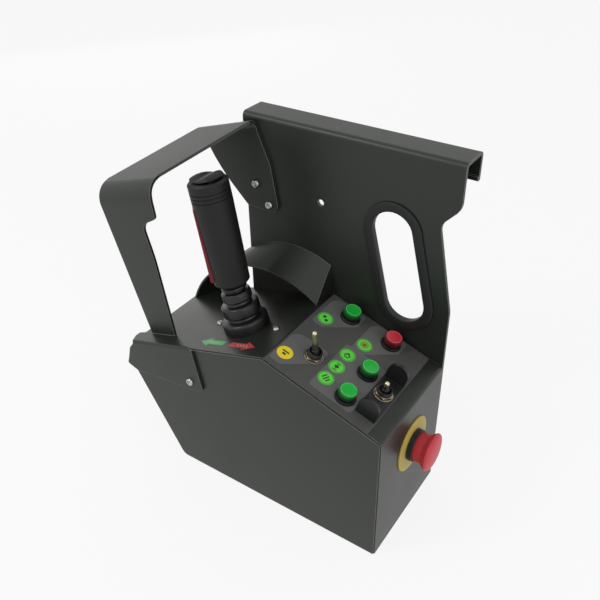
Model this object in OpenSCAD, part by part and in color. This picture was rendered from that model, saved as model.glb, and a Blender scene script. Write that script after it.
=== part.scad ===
// Scissor lift control box: a folded steel box that hooks over a guard rail. It carries a sprung
// joystick under a strap guard, four push buttons, two toggle switches and an emergency stop.
// Lengths are millimetres. +Z is up and the operator looks along +Y.
// The origin is the centre of the bottom face.

/* [Box] */
// Depth from the front face to the back plate
box_d = 130.5; // [129:0.5:134]
// Height of the ridge between the two panels
ridge_h = 201.3; // [199:0.1:204]
// Distance of the ridge from the left end of the bottom
ridge_x = 124.8; // [123.5:0.1:126]
// Fall of the joystick panel towards the left, degrees
joy_slope = 17.2; // [16.8:0.1:17.6]
// Fall of the switch panel towards the right, degrees
switch_slope = 18.2; // [17.8:0.1:18.6]
// How far the left side stands out past the bottom
overhang = 57; // [56:0.5:59]
// Height at which the left side starts to slant under the box
slant_h = 105; // [103:0.5:107]
// Thickness of the folded sheet
sheet_t = 2; // [1.8:0.1:2.2]
// Inside radius of the bends
bend_r = 2.5; // [2:0.1:3]
// Step from the folded sheet down to the edge of the front plate
front_step = 0.8; // [0.6:0.1:1]
// Width of the inner flanges that take the screws of the pan
flange_w = 16; // [15:0.5:18]

/* [Back plate] */
// Thickness of the back plate
plate_t = 3; // [2.8:0.1:3.2]
// Height of the top of the hook
hook_h = 382; // [380:0.5:384]
// Depth of the hook, front face to rear face
hook_d = 35.5; // [35:0.5:37]
// Length of the rear lip of the hook
hook_lip = 28.7; // [28:0.1:30]
// Height of the hem folded inside the rear lip
hem_h = 5; // [4.5:0.1:5.5]
// Distance of the plate's left edge from the left end of the bottom
plate_x = 15.8; // [15:0.1:17]
// How far the right edge is cut in at the waist
waist_in = 18.5; // [17.5:0.1:19.5]
// Height of the waist
waist_h = 318; // [317:0.5:319]
// Height of the upper end of the waist curve
shoulder_h = 338; // [337:0.5:340]
// Height at which the plate is as wide as the box again
flare_h = 226; // [224:0.5:228]
// Half the width of the opening inside the hand slot
slot_r = 21.5; // [21:0.1:22]
// Place of the upper end of the hand slot, from the left and from the bottom
slot_top = [190, 296.5];
// Place of the lower end of the hand slot
slot_low = [208, 221.5];
// Width of the rubber trim on the faces of the plate
trim_w = 10; // [9:0.5:10.5]
// Thickness of the rubber trim
trim_t = 2.2; // [2:0.1:2.4]
// Gap where the two ends of the trim meet
trim_gap = 0.5; // [0.4:0.1:0.8]
// Radius of the screw hole through the back plate
hang_hole_r = 3.5; // [3.2:0.1:4]
// Place of that hole
hang_hole = [108.6, 305.2];

/* [Hood] */
// Depth of the hood, from its front rim to the back plate
hood_l = 27.8; // [27:0.1:28]
// Radius of the front rim
hood_front_r = 114; // [113.5:0.1:114.5]
// Centre of the front rim
hood_front_c = [54.8, 108.8];
// Radius of the rear rim
hood_rear_r = 98; // [97.5:0.1:98.5]
// Centre of the rear rim
hood_rear_c = [76.9, 147.9];
// Distance from the ridge to the right end of the hood
hood_end = 3.8; // [3:0.1:5]

/* [Strap guard] */
// Thickness of the strap
strap_t = 3; // [2.8:0.1:3.2]
// Distance of the front leg from the front face
leg_y = 16; // [15.5:0.1:16.5]
// Reach of the strap's left edge from the ridge, along the panel
strap_reach = 171; // [170:0.5:171.5]
// Height of the strap over the panel at the front bend
strap_h = 171.9; // [171:0.1:173]
// Rise of the strap top towards the rear, degrees
strap_rise = 13.4; // [13:0.1:13.8]
// Outside radius of the front bend
strap_front_r = 21; // [20:0.5:22]
// Outside radius of the rear bend
strap_rear_r = 10; // [9:0.5:12]
// Drop of the foot plate under the panel, along the panel's normal
foot_drop = 53.1; // [52:0.1:54]
// Radius of the guard screws
guard_screw_r = 2.5; // [2.4:0.05:2.6]

/* [Joystick] */
// Distance of the joystick from the ridge, along the panel
joy_s = 61; // [60.4:0.1:61.6]
// Distance of the joystick from the front face
joy_y = 53.2; // [52.6:0.1:53.8]
// Depth of the pivot under the panel
pivot_n = 14; // [13.8:0.1:14.5]
// Radius of the pivot pin
pivot_r = 4; // [3.9:0.05:4.1]
// Radius of the steel lever
lever_r = 5; // [4.8:0.1:5.2]
// Radius of the hole in the panel
joy_hole_r = 14; // [13.6:0.1:14.4]
// Radius of the boot at its foot
boot_r = 24.5; // [24:0.1:25]
// Height of the boot
boot_h = 48.6; // [48.2:0.1:49]
// Wall of the boot
boot_wall = 2; // [1.8:0.1:2.2]
// Radius of the grip
grip_r = 20.2; // [20:0.1:20.6]
// Length of the grip up to its cap
grip_l = 106.2; // [105.2:0.1:107.2]
// Lean of the grip towards the right, degrees
grip_lean = 6.3; // [5.8:0.1:6.8]
// Thickness of the grip's cap
cap_h = 6.4; // [6.2:0.1:6.8]
// Height of the higher lobe of the thumb rocker over the cap
rocker_h = 7; // [6.6:0.1:7.4]
// Width of the enable trigger
trigger_w = 11; // [10.5:0.1:11.5]
// Turn of the trigger from the left towards the front, degrees
trigger_turn = 45; // [40:1:50]
// How far the trigger stands out of the grip at its lower end
trigger_out = 2.4; // [2.2:0.1:2.6]

/* [Switches] */
// Radius of a push button cap
button_r = 9.25; // [9:0.05:9.4]
// Height of a push button cap over the panel
button_h = 12.5; // [12:0.1:13]
// Travel of a push button
button_travel = 3; // [2.8:0.1:3.2]
// Height of the ring round a button
bezel_h = 3.5; // [3.3:0.1:3.8]
// Radius of the switch barrel
barrel_r = 8; // [7.8:0.05:8.1]
// Places of the buttons down the slope, and their shares of the depth: rear green, red, middle, front green
button_down = [32.3, 82.6, 85, 84.3];
button_depth_shares = [0.8743, 0.8835, 0.4828, 0.1716];
// Places of the two toggles down the slope, and their shares of the depth
toggle_down = [34.6, 109.8];
toggle_depth_shares = [0.3103, 0.3992];
// Length of the first toggle's lever over its pivot
toggle_one_l = 26; // [25:0.5:27]
// Length of the second toggle's lever over its pivot
toggle_two_l = 13; // [12.5:0.5:14]
// Lean of the first toggle, degrees
toggle_one_lean = 19; // [17:0.5:20]
// Lean of the second toggle, degrees
toggle_two_lean = 8; // [6:0.5:10]
// Radius of a toggle's bushing
bushing_r = 6; // [5.9:0.05:6.1]
// Width of a toggle nut over its flats
toggle_nut_af = 16.5; // [16:0.1:17]
// Height of the horns that guard the second toggle
horn_h = 24; // [23:0.5:25]
// Width of the horns along the slope
horn_w = 22; // [21:0.5:22.5]
// Bare end of the switch panel past the horns
panel_edge = 17.31; // [17:0.01:18]
// Thickness of the printed label
label_t = 0.4; // [0.3:0.05:0.5]
// Thickness of one printed layer on the label
print_t = 0.2; // [0.15:0.01:0.25]
// Radius of a round legend
legend_r = 8.2; // [8:0.1:8.4]
// Places of the legends down the slope, and their shares of the depth: horn, up, stop, drive, lift, slow
legend_down = [11.7, 14.5, 63.5, 58.2, 58.1, 58.2];
legend_depth_shares = [0.1793, 0.7073, 0.7096, 0.5211, 0.3617, 0.2107];

/* [Emergency stop] */
// Place of the emergency stop on the right wall, from the front and from the bottom
estop_at = [70.4, 101.2];
// Radius of the yellow disc
disc_r = 30; // [29:0.5:31]
// Thickness of the yellow disc
disc_t = 1.5; // [1.4:0.1:1.6]
// Outside radius of the black collar
collar_r = 17.2; // [17:0.1:17.6]
// Height of the collar over the disc
collar_h = 6; // [5.8:0.1:6.4]
// Radius of the skirt of the head
skirt_r = 15.5; // [15.2:0.1:15.7]
// Radius of the mushroom head
head_r = 20; // [19.5:0.1:20.5]
// Height of the head's face over the wall
head_h = 27; // [26:0.5:28]
// Travel of the emergency stop
estop_travel = 4; // [3.6:0.1:4.2]

/* [Inside] */
// Size of the control board
board_size = [150, 80, 1.6];
// Place of the board's front left corner
board_at = [44, 24];
// Height of the standoffs
standoff_h = 12; // [11:0.5:13]
// Height of the cable gland on the slanted wall
gland_h = 50; // [48:0.5:52]
// Radius of the gland's barrel
gland_r = 9.9; // [9.7:0.1:10.2]
// Radius of the cable hole
cable_r = 6; // [5.5:0.1:6.2]

/* [Hidden] */

$fn = 64;
// Straight pieces in one bend of a sheet
bend_steps = 8;
// Straight pieces in a wide curve
curve_steps = 24;
// Overrun of a cutting tool past the face it cuts
over = 0.5;
// Gap between faces that move past each other
play = 0.4;
// Radial clearance of a running fit
fit = 0.06;
// Radial clearance of a screw in its hole
screw_gap = 0.3;
// Depth of a thin slice that carries the end of a hull
slice = 0.01;

coat = [0.27, 0.29, 0.27];
black = [0.06, 0.06, 0.06];
rubber = [0.09, 0.09, 0.09];
steel = [0.72, 0.72, 0.70];
red = [0.80, 0.15, 0.20];
green = [0.08, 0.62, 0.22];
yellow = [0.90, 0.80, 0.20];
slate = [0.20, 0.21, 0.21];
pale = [0.34, 0.35, 0.35];
board_green = [0.05, 0.35, 0.18];

// A place on the switch panel, down the slope and as a share of the depth
function on_panel(down, share) = [down, share * box_d];
hood_y = box_d - hood_l;
button_rear = on_panel(button_down[0], button_depth_shares[0]);
button_stop = on_panel(button_down[1], button_depth_shares[1]);
button_mid = on_panel(button_down[2], button_depth_shares[2]);
button_front = on_panel(button_down[3], button_depth_shares[3]);
toggle_one = on_panel(toggle_down[0], toggle_depth_shares[0]);
toggle_two = on_panel(toggle_down[1], toggle_depth_shares[1]);
legend_horn = on_panel(legend_down[0], legend_depth_shares[0]);
legend_up = on_panel(legend_down[1], legend_depth_shares[1]);
legend_stop = on_panel(legend_down[2], legend_depth_shares[2]);
legend_drive = on_panel(legend_down[3], legend_depth_shares[3]);
legend_lift = on_panel(legend_down[4], legend_depth_shares[4]);
legend_slow = on_panel(legend_down[5], legend_depth_shares[5]);

// The switch panel is as long as its row of switches needs, and the box is as wide as the panel needs
switch_l = toggle_two[0] + horn_w / 2 + panel_edge;
base_w = ridge_x + switch_l * cos(switch_slope);

// The outline of the box, seen from the front
left_top = [-overhang, ridge_h - (ridge_x + overhang) * tan(joy_slope)];
right_top = [base_w, ridge_h - (base_w - ridge_x) * tan(switch_slope)];
ridge = [ridge_x, ridge_h];
box_outline = [[0, 0], [base_w, 0], right_top, ridge, left_top, [-overhang, slant_h]];
outer_bend = bend_r + sheet_t;
slant_l = norm([overhang, slant_h]);
slant_tilt = atan(overhang / slant_h);
joy_len = (ridge_x + overhang) / cos(joy_slope);

// Screws of the pan and of the guard
pan_screw_r = 2;
pan_head_r = 3.8;
pan_head_h = 1.6;
pan_screw_l = 6;
guard_head_r = 4.5;
guard_head_h = 2.8;
guard_key_r = 2.3;
guard_nut_r = 4.6;
guard_nut_h = 4;
plate_back = box_d + plate_t;
// The screws sit on the strap: shares of its reach and of its height, or of the drop of its foot
foot_screw_shares = [0.6582, 0.7593];
rear_screw_shares = [[0.345, 0.7522], [0.2905, 0.6089]];
function on_strap(reach, rise) =
    [ridge_x - reach * cos(joy_slope) - rise * sin(joy_slope),
        ridge_h - reach * sin(joy_slope) + rise * cos(joy_slope)];
foot_screw = on_strap(foot_screw_shares[0] * strap_reach, -foot_screw_shares[1] * foot_drop);
rear_screws = [for (p = rear_screw_shares) on_strap(p[0] * strap_reach, p[1] * strap_h)];

// Strap guard, in the frame of the joystick panel
strap_end_shares = [0.546, 0.566, 0.697, 0.706, 0.787];
strap_rise_shares = [0.92, 0.805, 0.774, 0.555];
rear_left_shares = [0.628, 0.61, 0.566, 0.507, 0.462];
rear_left_rise_shares = [1.01, 0.94, 0.815, 0.705, 0.622];
rear_right_shares = [0.234, 0.194, 0.216];
rear_right_rise_shares = [0.54, 0.86, 1.06];
foot_reach_shares = [1.081, 1.133, 1.192, 1.22, 1.174, 1.149, 0.605, 0.575, 0.545];
foot_drop_shares = [0, 0.12, 0.414, 0.52, 0.633, 0.693, 1, 0.93, 0];
kink_share = 0.16;

// Joystick
grip_foot_share = 0.92;
// The leaning grip stands clear of the boot's top
grip_n = boot_h + play + grip_r * grip_foot_share * sin(grip_lean);
pin_half = 22;
cheek_t = 4;
cheek_y = 18;
hub_half = 9;
hub_r = 9;
spring_wire = 1;
spring_r = 6;
flange_t = 3;
flange_size = [100, 45];
flange_screws = [[-39.3, 0], [39.3, 0]];
flange_screw_r = 2;
flange_head_r = 3.8;
flange_head_h = 2.2;
lever_in = 30;
pocket = [27, 18];
rocker_gap = 0.5;
rocker_pin_r = 1.5;
rocker_pin_half = pocket[1] / 2 + 2 * rocker_pin_r;
// Side view of the thumb rocker, in shares of its half length and height
rocker_shares = [[-1, 0.15], [-1, 0.72], [-0.8, 0.86], [-0.45, 0.62], [0, 0.52], [0.4, 0.72], [0.7, 1],
    [1, 0.9], [1, 0.15]];
rocker_bend_shares = [0, 0.08, 0.25, 0.5, 0.5, 0.5, 0.25, 0.08, 0, 0, 0];
trigger_pin_r = 1.5;
trigger_z = [7.4, 88.2];
trigger_pivot = [-14.6, 82.2];
trigger_floor = 11;
grip_rings = 3;
ring_pitch = 4;
ring_cut = 0.9;
// Outline of the bellows from the foot up, in shares of its radius and height
boot_shares = [[1, 0], [1.01, 0.24], [0.7, 0.28], [0.68, 0.33], [0.82, 0.37], [0.82, 0.59], [0.55, 0.61],
    [0.52, 0.66], [0.64, 0.7], [0.63, 0.88], [0.44, 0.9], [0.44, 0.93], [0.55, 0.95], [0.54, 1]];
boot_bend_shares = [0, 1.5, 0.5, 0.5, 0.75, 1.25, 0.5, 0.5, 0.5, 1, 0.3, 0.3, 0, 0];
boot_foot_share = 0.78;
arrow_size = [33, 15];
head_share = 0.4;
stem_share = 0.25;
arrow_left_at = [-79.2, 16.8];
arrow_right_at = [-38.2, 17.2];

// Switches
bore_r = 6;
barrel_l = 12;
body_w = 18;
body_l = 20;
bezel_rim = 1.25;
bezel_r = button_r + bezel_rim;
bezel_floor = 1.2;
switch_nut_af = 20;
switch_nut_h = 3.5;
ball_r = 4.4;
toggle_pivot_n = 6.5;
toggle_pin_r = 0.75;
bushing_top = 9.5;
bell_r = 7.8;
mouth_r = 6;
washer_r = 10;
washer_t = 1;
toggle_nut_h = 2.8;
toggle_body = [27, 14, 22];
guard_t = 1.5;
guard_depth_shares = [0.1226, 0.5824];
guard_y = guard_depth_shares * box_d;
horn_t = 3;
cone_shares = [0.92, 0.5];
cone_l_share = 0.45;
field_cut_shares = [0.33, 0.6];
field_bend_shares = [0.5, 0.5, 0.5, 0.5, 1.5];

// Emergency stop
estop_barrel_r = 11;
estop_barrel_l = 16;
plunger_r = 6;
estop_floor = 1.1;
estop_shoulder_share = 0.48;
block_size = [30, 30, 32];

// Small parts inside
standoff_r = 4;
board_inset = 6;
board_screw_r = 1.5;
relay_size = [20, 16, 16];
relay_shares = [0.75, 0.7];
terminal_size = [60, 12, 12];
terminal_shares = [0.4, 0.25];
gland_hex_af = 24;
gland_hex_h = 6;
gland_l = 22;
gland_dome_r = 11;
gland_in = 12;
gland_nut_h = 5;

function unit(v) = v / norm(v);
function before(p, i) = p[(i + len(p) - 1) % len(p)];
function after(p, i) = p[(i + 1) % len(p)];
// One corner of an outline, replaced by an arc of radius r
function arc_corner(a, b, c, r, k) =
    let (u = unit(a - b), v = unit(c - b), half = acos(u * v) / 2)
    let (middle = b + unit(u + v) * r / sin(half), w = 180 - 2 * half)
    let (p = b + u * r / tan(half) - middle, q = b + v * r / tan(half) - middle)
    [for (i = [0 : k]) middle + (p * sin(w * (1 - i / k)) + q * sin(w * i / k)) / sin(w)];
// A closed outline with rounded corners; a radius of zero keeps the corner sharp
function rounded(p, r, k = bend_steps) =
    [for (i = [0 : len(p) - 1])
        each r[i] > 0 ? arc_corner(before(p, i), p[i], after(p, i), r[i], k) : [p[i]]];
// A closed outline moved inwards by d
function inset(p, d) =
    [for (i = [0 : len(p) - 1])
        let (u = unit(before(p, i) - p[i]), v = unit(after(p, i) - p[i]))
        p[i] + unit(u + v) * d / sin(acos(u * v) / 2)];
function joy_z(x) = ridge_h - (ridge_x - x) * tan(joy_slope);
function hex_r(af) = af / 2 / cos(30);
// Inner line of the slanted wall: its height at x
function slant_z(x) = sheet_t * overhang / slant_l + (sheet_t * slant_h / slant_l - x) / overhang * slant_h;
// Half a circle round c that starts at angle t
function half_round(c, r, t) =
    [for (i = [0 : curve_steps]) let (w = t + 180 * i / curve_steps) c + r * [cos(w), sin(w)]];
// Round slot outline between two points
function slot_points(a, b, r) =
    let (t = atan2(b[1] - a[1], b[0] - a[0]))
    concat(half_round(a, r, t + 90), half_round(b, r, t - 90));
// A rectangle with round corners, from one corner to the other
function round_box(a, b, r) = rounded([a, [b[0], a[1]], b, [a[0], b[1]]], [r, r, r, r]);

// Work frame: left end of the bottom, front face, bottom
module centred()
    translate([-base_w / 2, -box_d / 2, 0])
        children();

// An outline drawn in x and z, given thickness from depth y0 to y1
module upright(y0, y1)
    translate([0, y1, 0])
        rotate([90, 0, 0])
            linear_extrude(y1 - y0)
                children();

// An outline drawn in y and z, given thickness from x0 to x1
module sideways(x0, x1)
    translate([x0, 0, 0])
        rotate([90, 0, 90])
            linear_extrude(x1 - x0)
                children();

// Frame of the joystick panel: x runs up to the ridge, z stands off the panel
module joystick_panel()
    centred()
        translate([ridge_x, 0, ridge_h])
            rotate([0, -joy_slope, 0])
                children();

// Frame of the joystick, at the panel's surface
module at_joystick()
    joystick_panel()
        translate([-joy_s, joy_y, 0])
            children();

// Frame of the grip, at its lower end
module at_grip()
    at_joystick()
        translate([0, 0, grip_n])
            rotate([0, grip_lean, 0])
                children();

// Frame of the trigger: it faces -x in the grip's frame, turned about the grip
module at_trigger()
    at_grip()
        rotate([0, 0, trigger_turn])
            children();

// Frame of the switch panel: x runs down from the ridge, z stands off the panel
module switch_panel(p = [0, 0])
    centred()
        translate([ridge_x, 0, ridge_h])
            rotate([0, switch_slope, 0])
                translate([p[0], p[1], 0])
                    children();

// Frame of the emergency stop: z points out of the right wall
module at_estop()
    centred()
        translate([base_w, estop_at[0], estop_at[1]])
            rotate([0, 90, 0])
                children();

// Frame of the gland: z points out of the slanted wall
module at_gland()
    centred()
        translate([-gland_h * overhang / slant_h, box_d / 2, gland_h])
            rotate([0, -90 - slant_tilt, 0])
                children();

// A round bar from z0 to z1
module bar(r, z0, z1)
    translate([0, 0, z0])
        cylinder(r = r, h = z1 - z0);

// A hexagonal bar from z0 to z1
module hex_bar(af, z0, z1)
    translate([0, 0, z0])
        cylinder(r = hex_r(af), h = z1 - z0, $fn = 6);

// A round bar across the frame, along y
module cross_bar(r, y0, y1)
    translate([0, y1, 0])
        rotate([90, 0, 0])
            cylinder(r = r, h = y1 - y0);

// A block centred in x and y
module block(size, z0)
    translate([-size[0] / 2, -size[1] / 2, z0])
        cube(size);

// The four countersunk screws of the pan and their places
module at_pan_screws()
{
    for (y = [box_d / 4, box_d * 3 / 4])
        centred()
            translate([base_w - sheet_t - flange_w / 2, y, 0])
                rotate([180, 0, 0])
                    children();
    for (y = [box_d / 4, box_d * 3 / 4])
        centred()
            translate([-overhang, y, slant_h + flange_w / 2])
                rotate([0, -90, 0])
                    children();
}

module countersunk(gap)
{
    bar(pan_screw_r + gap, -pan_screw_l, 0);
    translate([0, 0, -pan_head_h])
        cylinder(r1 = pan_screw_r + gap, r2 = pan_head_r + gap, h = pan_head_h);
}

module front_plate()
    color(coat)
        centred()
            difference()
            {
                upright(0, sheet_t)
                    polygon(rounded(inset(box_outline, front_step),
                        [outer_bend * 2, front_step, bend_r, bend_r, bend_r, bend_r]));
                translate([foot_screw[0], 0, foot_screw[1]])
                    cross_bar(guard_screw_r + screw_gap, -over, sheet_t + over);
            }

module wrap_shell()
{
    inner = inset(box_outline, sheet_t);
    right = base_w - sheet_t;
    outline = [[base_w, 0], right_top, ridge, left_top, [-overhang, slant_h], [sheet_t - overhang, slant_h],
        inner[4], inner[3], inner[2], [right, 2 * sheet_t], [right - flange_w, 2 * sheet_t],
        [right - flange_w, sheet_t], [right, sheet_t], [right, 0]];
    bends = [0, outer_bend, outer_bend, outer_bend, 0, 0, bend_r, bend_r, bend_r, 0, 0, 0, 0, 0];
    color(coat)
        difference()
        {
            centred()
                upright(sheet_t, box_d)
                    polygon(rounded(outline, bends));
            at_joystick()
                bar(joy_hole_r, -sheet_t - over, over);
            at_joystick()
                for (p = flange_screws)
                    translate([p[0], p[1], 0])
                        bar(flange_screw_r + screw_gap, -sheet_t - over, over);
            for (p = [button_rear, button_stop, button_mid, button_front])
                switch_panel(p)
                    bar(barrel_r + screw_gap, -sheet_t - over, over);
            for (p = [toggle_one, toggle_two])
                switch_panel(p)
                    bar(bushing_r + screw_gap, -sheet_t - over, over);
            at_estop()
                bar(estop_barrel_r + screw_gap, -sheet_t - over, over);
            at_pan_screws()
                countersunk(fit);
        }
}

module bottom_pan()
{
    right = base_w - sheet_t;
    in_x = sheet_t * slant_h / slant_l - overhang * sheet_t * (1 - overhang / slant_l) / slant_h;
    lip_x = 2 * sheet_t - overhang;
    outline = [[right, 0], [0, 0], [-overhang, slant_h], [sheet_t - overhang, slant_h],
        [sheet_t - overhang, slant_h + flange_w], [lip_x, slant_h + flange_w], [lip_x, slant_z(lip_x)],
        [in_x, sheet_t], [right, sheet_t]];
    bends = [0, 2 * outer_bend, 0, 0, 0, 0, 0, 2 * outer_bend - sheet_t, 0];
    color(coat)
        difference()
        {
            centred()
                upright(sheet_t, box_d)
                    polygon(rounded(outline, bends));
            at_pan_screws()
                countersunk(fit);
            at_gland()
                bar(gland_r + screw_gap, -sheet_t - over, over);
            at_board_corners()
                bar(board_screw_r + screw_gap, -over, sheet_t + over);
        }
}

module pan_screws()
    color(steel)
        at_pan_screws()
            difference()
            {
                countersunk(0);
                hex_bar(pan_screw_r, -pan_head_h / 2, over);
            }

module back_plate()
{
    joint_z = hook_h - plate_t - bend_r;
    outline = [[0, 0], [base_w, 0], [base_w, flare_h], [base_w - waist_in, waist_h], [base_w, shoulder_h],
        [base_w, joint_z], [plate_x, joint_z], [plate_x, joy_z(plate_x)], left_top, [-overhang, slant_h]];
    corners = [2 * outer_bend, 0, 2 * waist_in, waist_in * 3 / 4, waist_in, 0, 0, 0, bend_r, bend_r];
    back = box_d + hook_d;
    hem_z = hook_h - hook_lip;
    hook = [[box_d, joint_z], [box_d, hook_h], [back, hook_h], [back, hem_z], [back - 2 * plate_t, hem_z],
        [back - 2 * plate_t, hem_z + hem_h], [back - plate_t, hem_z + hem_h],
        [back - plate_t, hook_h - plate_t], [plate_back, hook_h - plate_t], [plate_back, joint_z]];
    inner_bend = bend_r * 4 / 5;
    rolls = [0, inner_bend + plate_t, inner_bend + plate_t, plate_t * 4 / 5, plate_t * 4 / 5, 0, 0,
        inner_bend, inner_bend, 0];
    color(coat)
        centred()
            difference()
            {
                union()
                {
                    upright(box_d, plate_back)
                        polygon(rounded(outline, corners));
                    sideways(plate_x, base_w)
                        polygon(rounded(hook, rolls));
                }
                upright(box_d - over, plate_back + over)
                    polygon(slot_points(slot_top, slot_low, slot_r + trim_t));
                translate([hang_hole[0], 0, hang_hole[1]])
                    cross_bar(hang_hole_r, box_d - over, plate_back + over);
                for (p = rear_screws)
                    translate([p[0], 0, p[1]])
                        cross_bar(guard_screw_r + screw_gap, box_d - over, plate_back + over);
            }
}

module hood_body(inward, past)
    hull()
    {
        translate([hood_front_c[0], hood_y + slice, hood_front_c[1]])
            rotate([90, 0, 0])
                cylinder(r = hood_front_r - inward, h = slice + past, $fn = 96);
        translate([hood_rear_c[0], box_d + past, hood_rear_c[1]])
            rotate([90, 0, 0])
                cylinder(r = hood_rear_r - inward, h = slice + past, $fn = 96);
    }

module arch_hood()
{
    end_x = ridge_x - hood_end;
    color(coat)
        centred()
            intersection()
            {
                union()
                {
                    difference()
                    {
                        hood_body(0, 0);
                        hood_body(sheet_t, over);
                    }
                    intersection()
                    {
                        hood_body(0, 0);
                        translate([end_x - sheet_t, 0, 0])
                            cube([sheet_t, box_d, hook_h]);
                    }
                }
                upright(0, box_d)
                    polygon([left_top, [end_x, joy_z(end_x)], [end_x, hook_h], [-overhang, hook_h]]);
            }
}

// The bent strip of the guard, seen from its side, in depth and height over the panel
module strap_profile()
{
    run = box_d - leg_y;
    rear_n = strap_h + run * tan(strap_rise);
    inner_rise = strap_t / cos(strap_rise);
    outline = [[-strap_t, -2 * foot_drop], [-strap_t, strap_t], [leg_y, strap_t], [leg_y, strap_h],
        [box_d, rear_n], [box_d, strap_t], [box_d - strap_t, strap_t],
        [box_d - strap_t, rear_n - inner_rise - strap_t * tan(strap_rise)],
        [leg_y + strap_t, strap_h - inner_rise + strap_t * tan(strap_rise)], [leg_y + strap_t, 0], [0, 0],
        [0, -2 * foot_drop]];
    bends = [0, strap_t, 0, strap_front_r, strap_rear_r, 0, 0, strap_rear_r - strap_t,
        strap_front_r - strap_t, 0, 0, 0];
    polygon(rounded(outline, bends, curve_steps));
}

// Points of the strap's edge, from shares of its reach and of its height
function edge_points(reach, rise) =
    [for (i = [0 : len(reach) - 1]) [-reach[i] * strap_reach, rise[i] * strap_h]];

module strap_outlines()
{
    high = 2 * strap_h;
    right = -strap_end_shares[0] * strap_reach;
    rear_left = -rear_left_shares[0] * strap_reach;
    rear_right = -rear_right_shares[2] * strap_reach;
    kink_front = box_d * kink_share + leg_y;
    kink_rear = box_d - strap_rear_r;
    leg = [[-strap_reach, high], [-strap_reach, 0],
        [-strap_end_shares[4] * strap_reach, 0],
        [-strap_end_shares[3] * strap_reach, strap_rise_shares[3] * strap_h],
        [-strap_end_shares[2] * strap_reach, strap_rise_shares[2] * strap_h],
        [-strap_end_shares[1] * strap_reach, strap_rise_shares[1] * strap_h],
        [right, strap_rise_shares[0] * strap_h], [right, high]];
    leg_bends = [0, 0, 0, strap_reach, 4 * strap_t, 2 * strap_t, 0, 0];
    rear = concat([[rear_left, high]], edge_points(rear_left_shares, rear_left_rise_shares),
        edge_points(rear_right_shares, rear_right_rise_shares), [[rear_right, high]]);
    rear_bends = [0, 0, 4 * strap_t, strap_reach, strap_reach, strap_t, 3 * strap_t, 4 * strap_t, 0, 0];
    foot = [for (i = [0 : len(foot_reach_shares) - 1])
        [-foot_reach_shares[i] * strap_reach, -foot_drop_shares[i] * foot_drop]];
    foot_bends = [0, 0, 0, strap_t, strap_t, 0, strap_t, strap_t, 0];
    upright(leg_y, kink_front)
        polygon(rounded(leg, leg_bends, curve_steps));
    linear_extrude(high)
        polygon([[-strap_reach, kink_front], [right, kink_front], [rear_right, kink_rear],
            [rear_left, kink_rear]]);
    upright(kink_rear, box_d)
        polygon(rounded(rear, rear_bends, curve_steps));
    upright(-strap_t, 0)
        polygon(rounded(foot, foot_bends));
    linear_extrude(strap_t)
        polygon([[-strap_reach, leg_y + strap_t], [-joy_len, leg_y - strap_t / 2], [-joy_len, leg_y / 2],
            [-foot_reach_shares[0] * strap_reach, -strap_t],
            [-foot_reach_shares[8] * strap_reach, -strap_t],
            [-strap_end_shares[4] * strap_reach, leg_y + strap_t]]);
}

module guard_strap()
    color(coat)
        difference()
        {
            joystick_panel()
                intersection()
                {
                    sideways(-2 * strap_reach, 0)
                        strap_profile();
                    strap_outlines();
                }
            centred()
                translate([foot_screw[0], 0, foot_screw[1]])
                    cross_bar(guard_screw_r + screw_gap, -strap_t - over, over);
            centred()
                for (p = rear_screws)
                    translate([p[0], 0, p[1]])
                        cross_bar(guard_screw_r + screw_gap, box_d - strap_t - over, box_d + over);
        }

module socket_screw(y0, y1)
    rotate([90, 0, 0])
        difference()
        {
            union()
            {
                bar(guard_screw_r, -y1, -y0);
                bar(guard_head_r, -y0, guard_head_h - y0);
            }
            hex_bar(2 * guard_key_r, guard_head_h / 2 - y0, guard_head_h - y0 + over);
        }

module guard_screws()
    color(steel)
        centred()
        {
            translate([foot_screw[0], 0, foot_screw[1]])
                socket_screw(-strap_t, sheet_t + guard_nut_h);
            for (p = rear_screws)
                translate([p[0], 0, p[1]])
                    socket_screw(box_d - strap_t, plate_back + guard_nut_h);
        }

module guard_nut(y)
    translate([0, y, 0])
        rotate([-90, 0, 0])
            difference()
            {
                hex_bar(2 * guard_nut_r * cos(30), 0, guard_nut_h);
                bar(guard_screw_r + fit, -over, guard_nut_h + over);
            }

module guard_nuts()
    color(steel)
        centred()
        {
            translate([foot_screw[0], 0, foot_screw[1]])
                guard_nut(sheet_t);
            for (p = rear_screws)
                translate([p[0], 0, p[1]])
                    guard_nut(plate_back);
        }

module handle_trim()
{
    wide = slot_r + trim_w;
    middle = (slot_top + slot_low) / 2;
    color(rubber)
        centred()
            difference()
            {
                union()
                {
                    upright(box_d - trim_t, box_d)
                        polygon(slot_points(slot_top, slot_low, wide));
                    upright(plate_back, plate_back + trim_t)
                        polygon(slot_points(slot_top, slot_low, wide));
                    upright(box_d, plate_back)
                        polygon(slot_points(slot_top, slot_low, slot_r + trim_t));
                }
                upright(box_d - trim_t - over, plate_back + trim_t + over)
                    polygon(slot_points(slot_top, slot_low, slot_r));
                translate([middle[0] - 2 * wide, box_d - trim_t - over, (slot_top[1] + middle[1]) / 2])
                    cube([2 * wide, plate_t + 2 * trim_t + 2 * over, trim_gap]);
            }
}

// Clear space round every switch on the label
module label_holes(wider)
{
    for (p = [button_rear, button_stop, button_mid, button_front])
        translate(p)
            circle(r = bezel_r + wider);
}

module switch_label()
    color(slate)
        switch_panel()
            linear_extrude(label_t)
                difference()
                {
                    polygon(round_box([sheet_t / 2, sheet_t],
                        [toggle_two[0] + horn_w * 4 / 7, box_d - sheet_t / 2], bend_r));
                    label_holes(play);
                    for (p = [toggle_one, toggle_two])
                        translate(p)
                            circle(r = bushing_r + play);
                }

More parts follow.
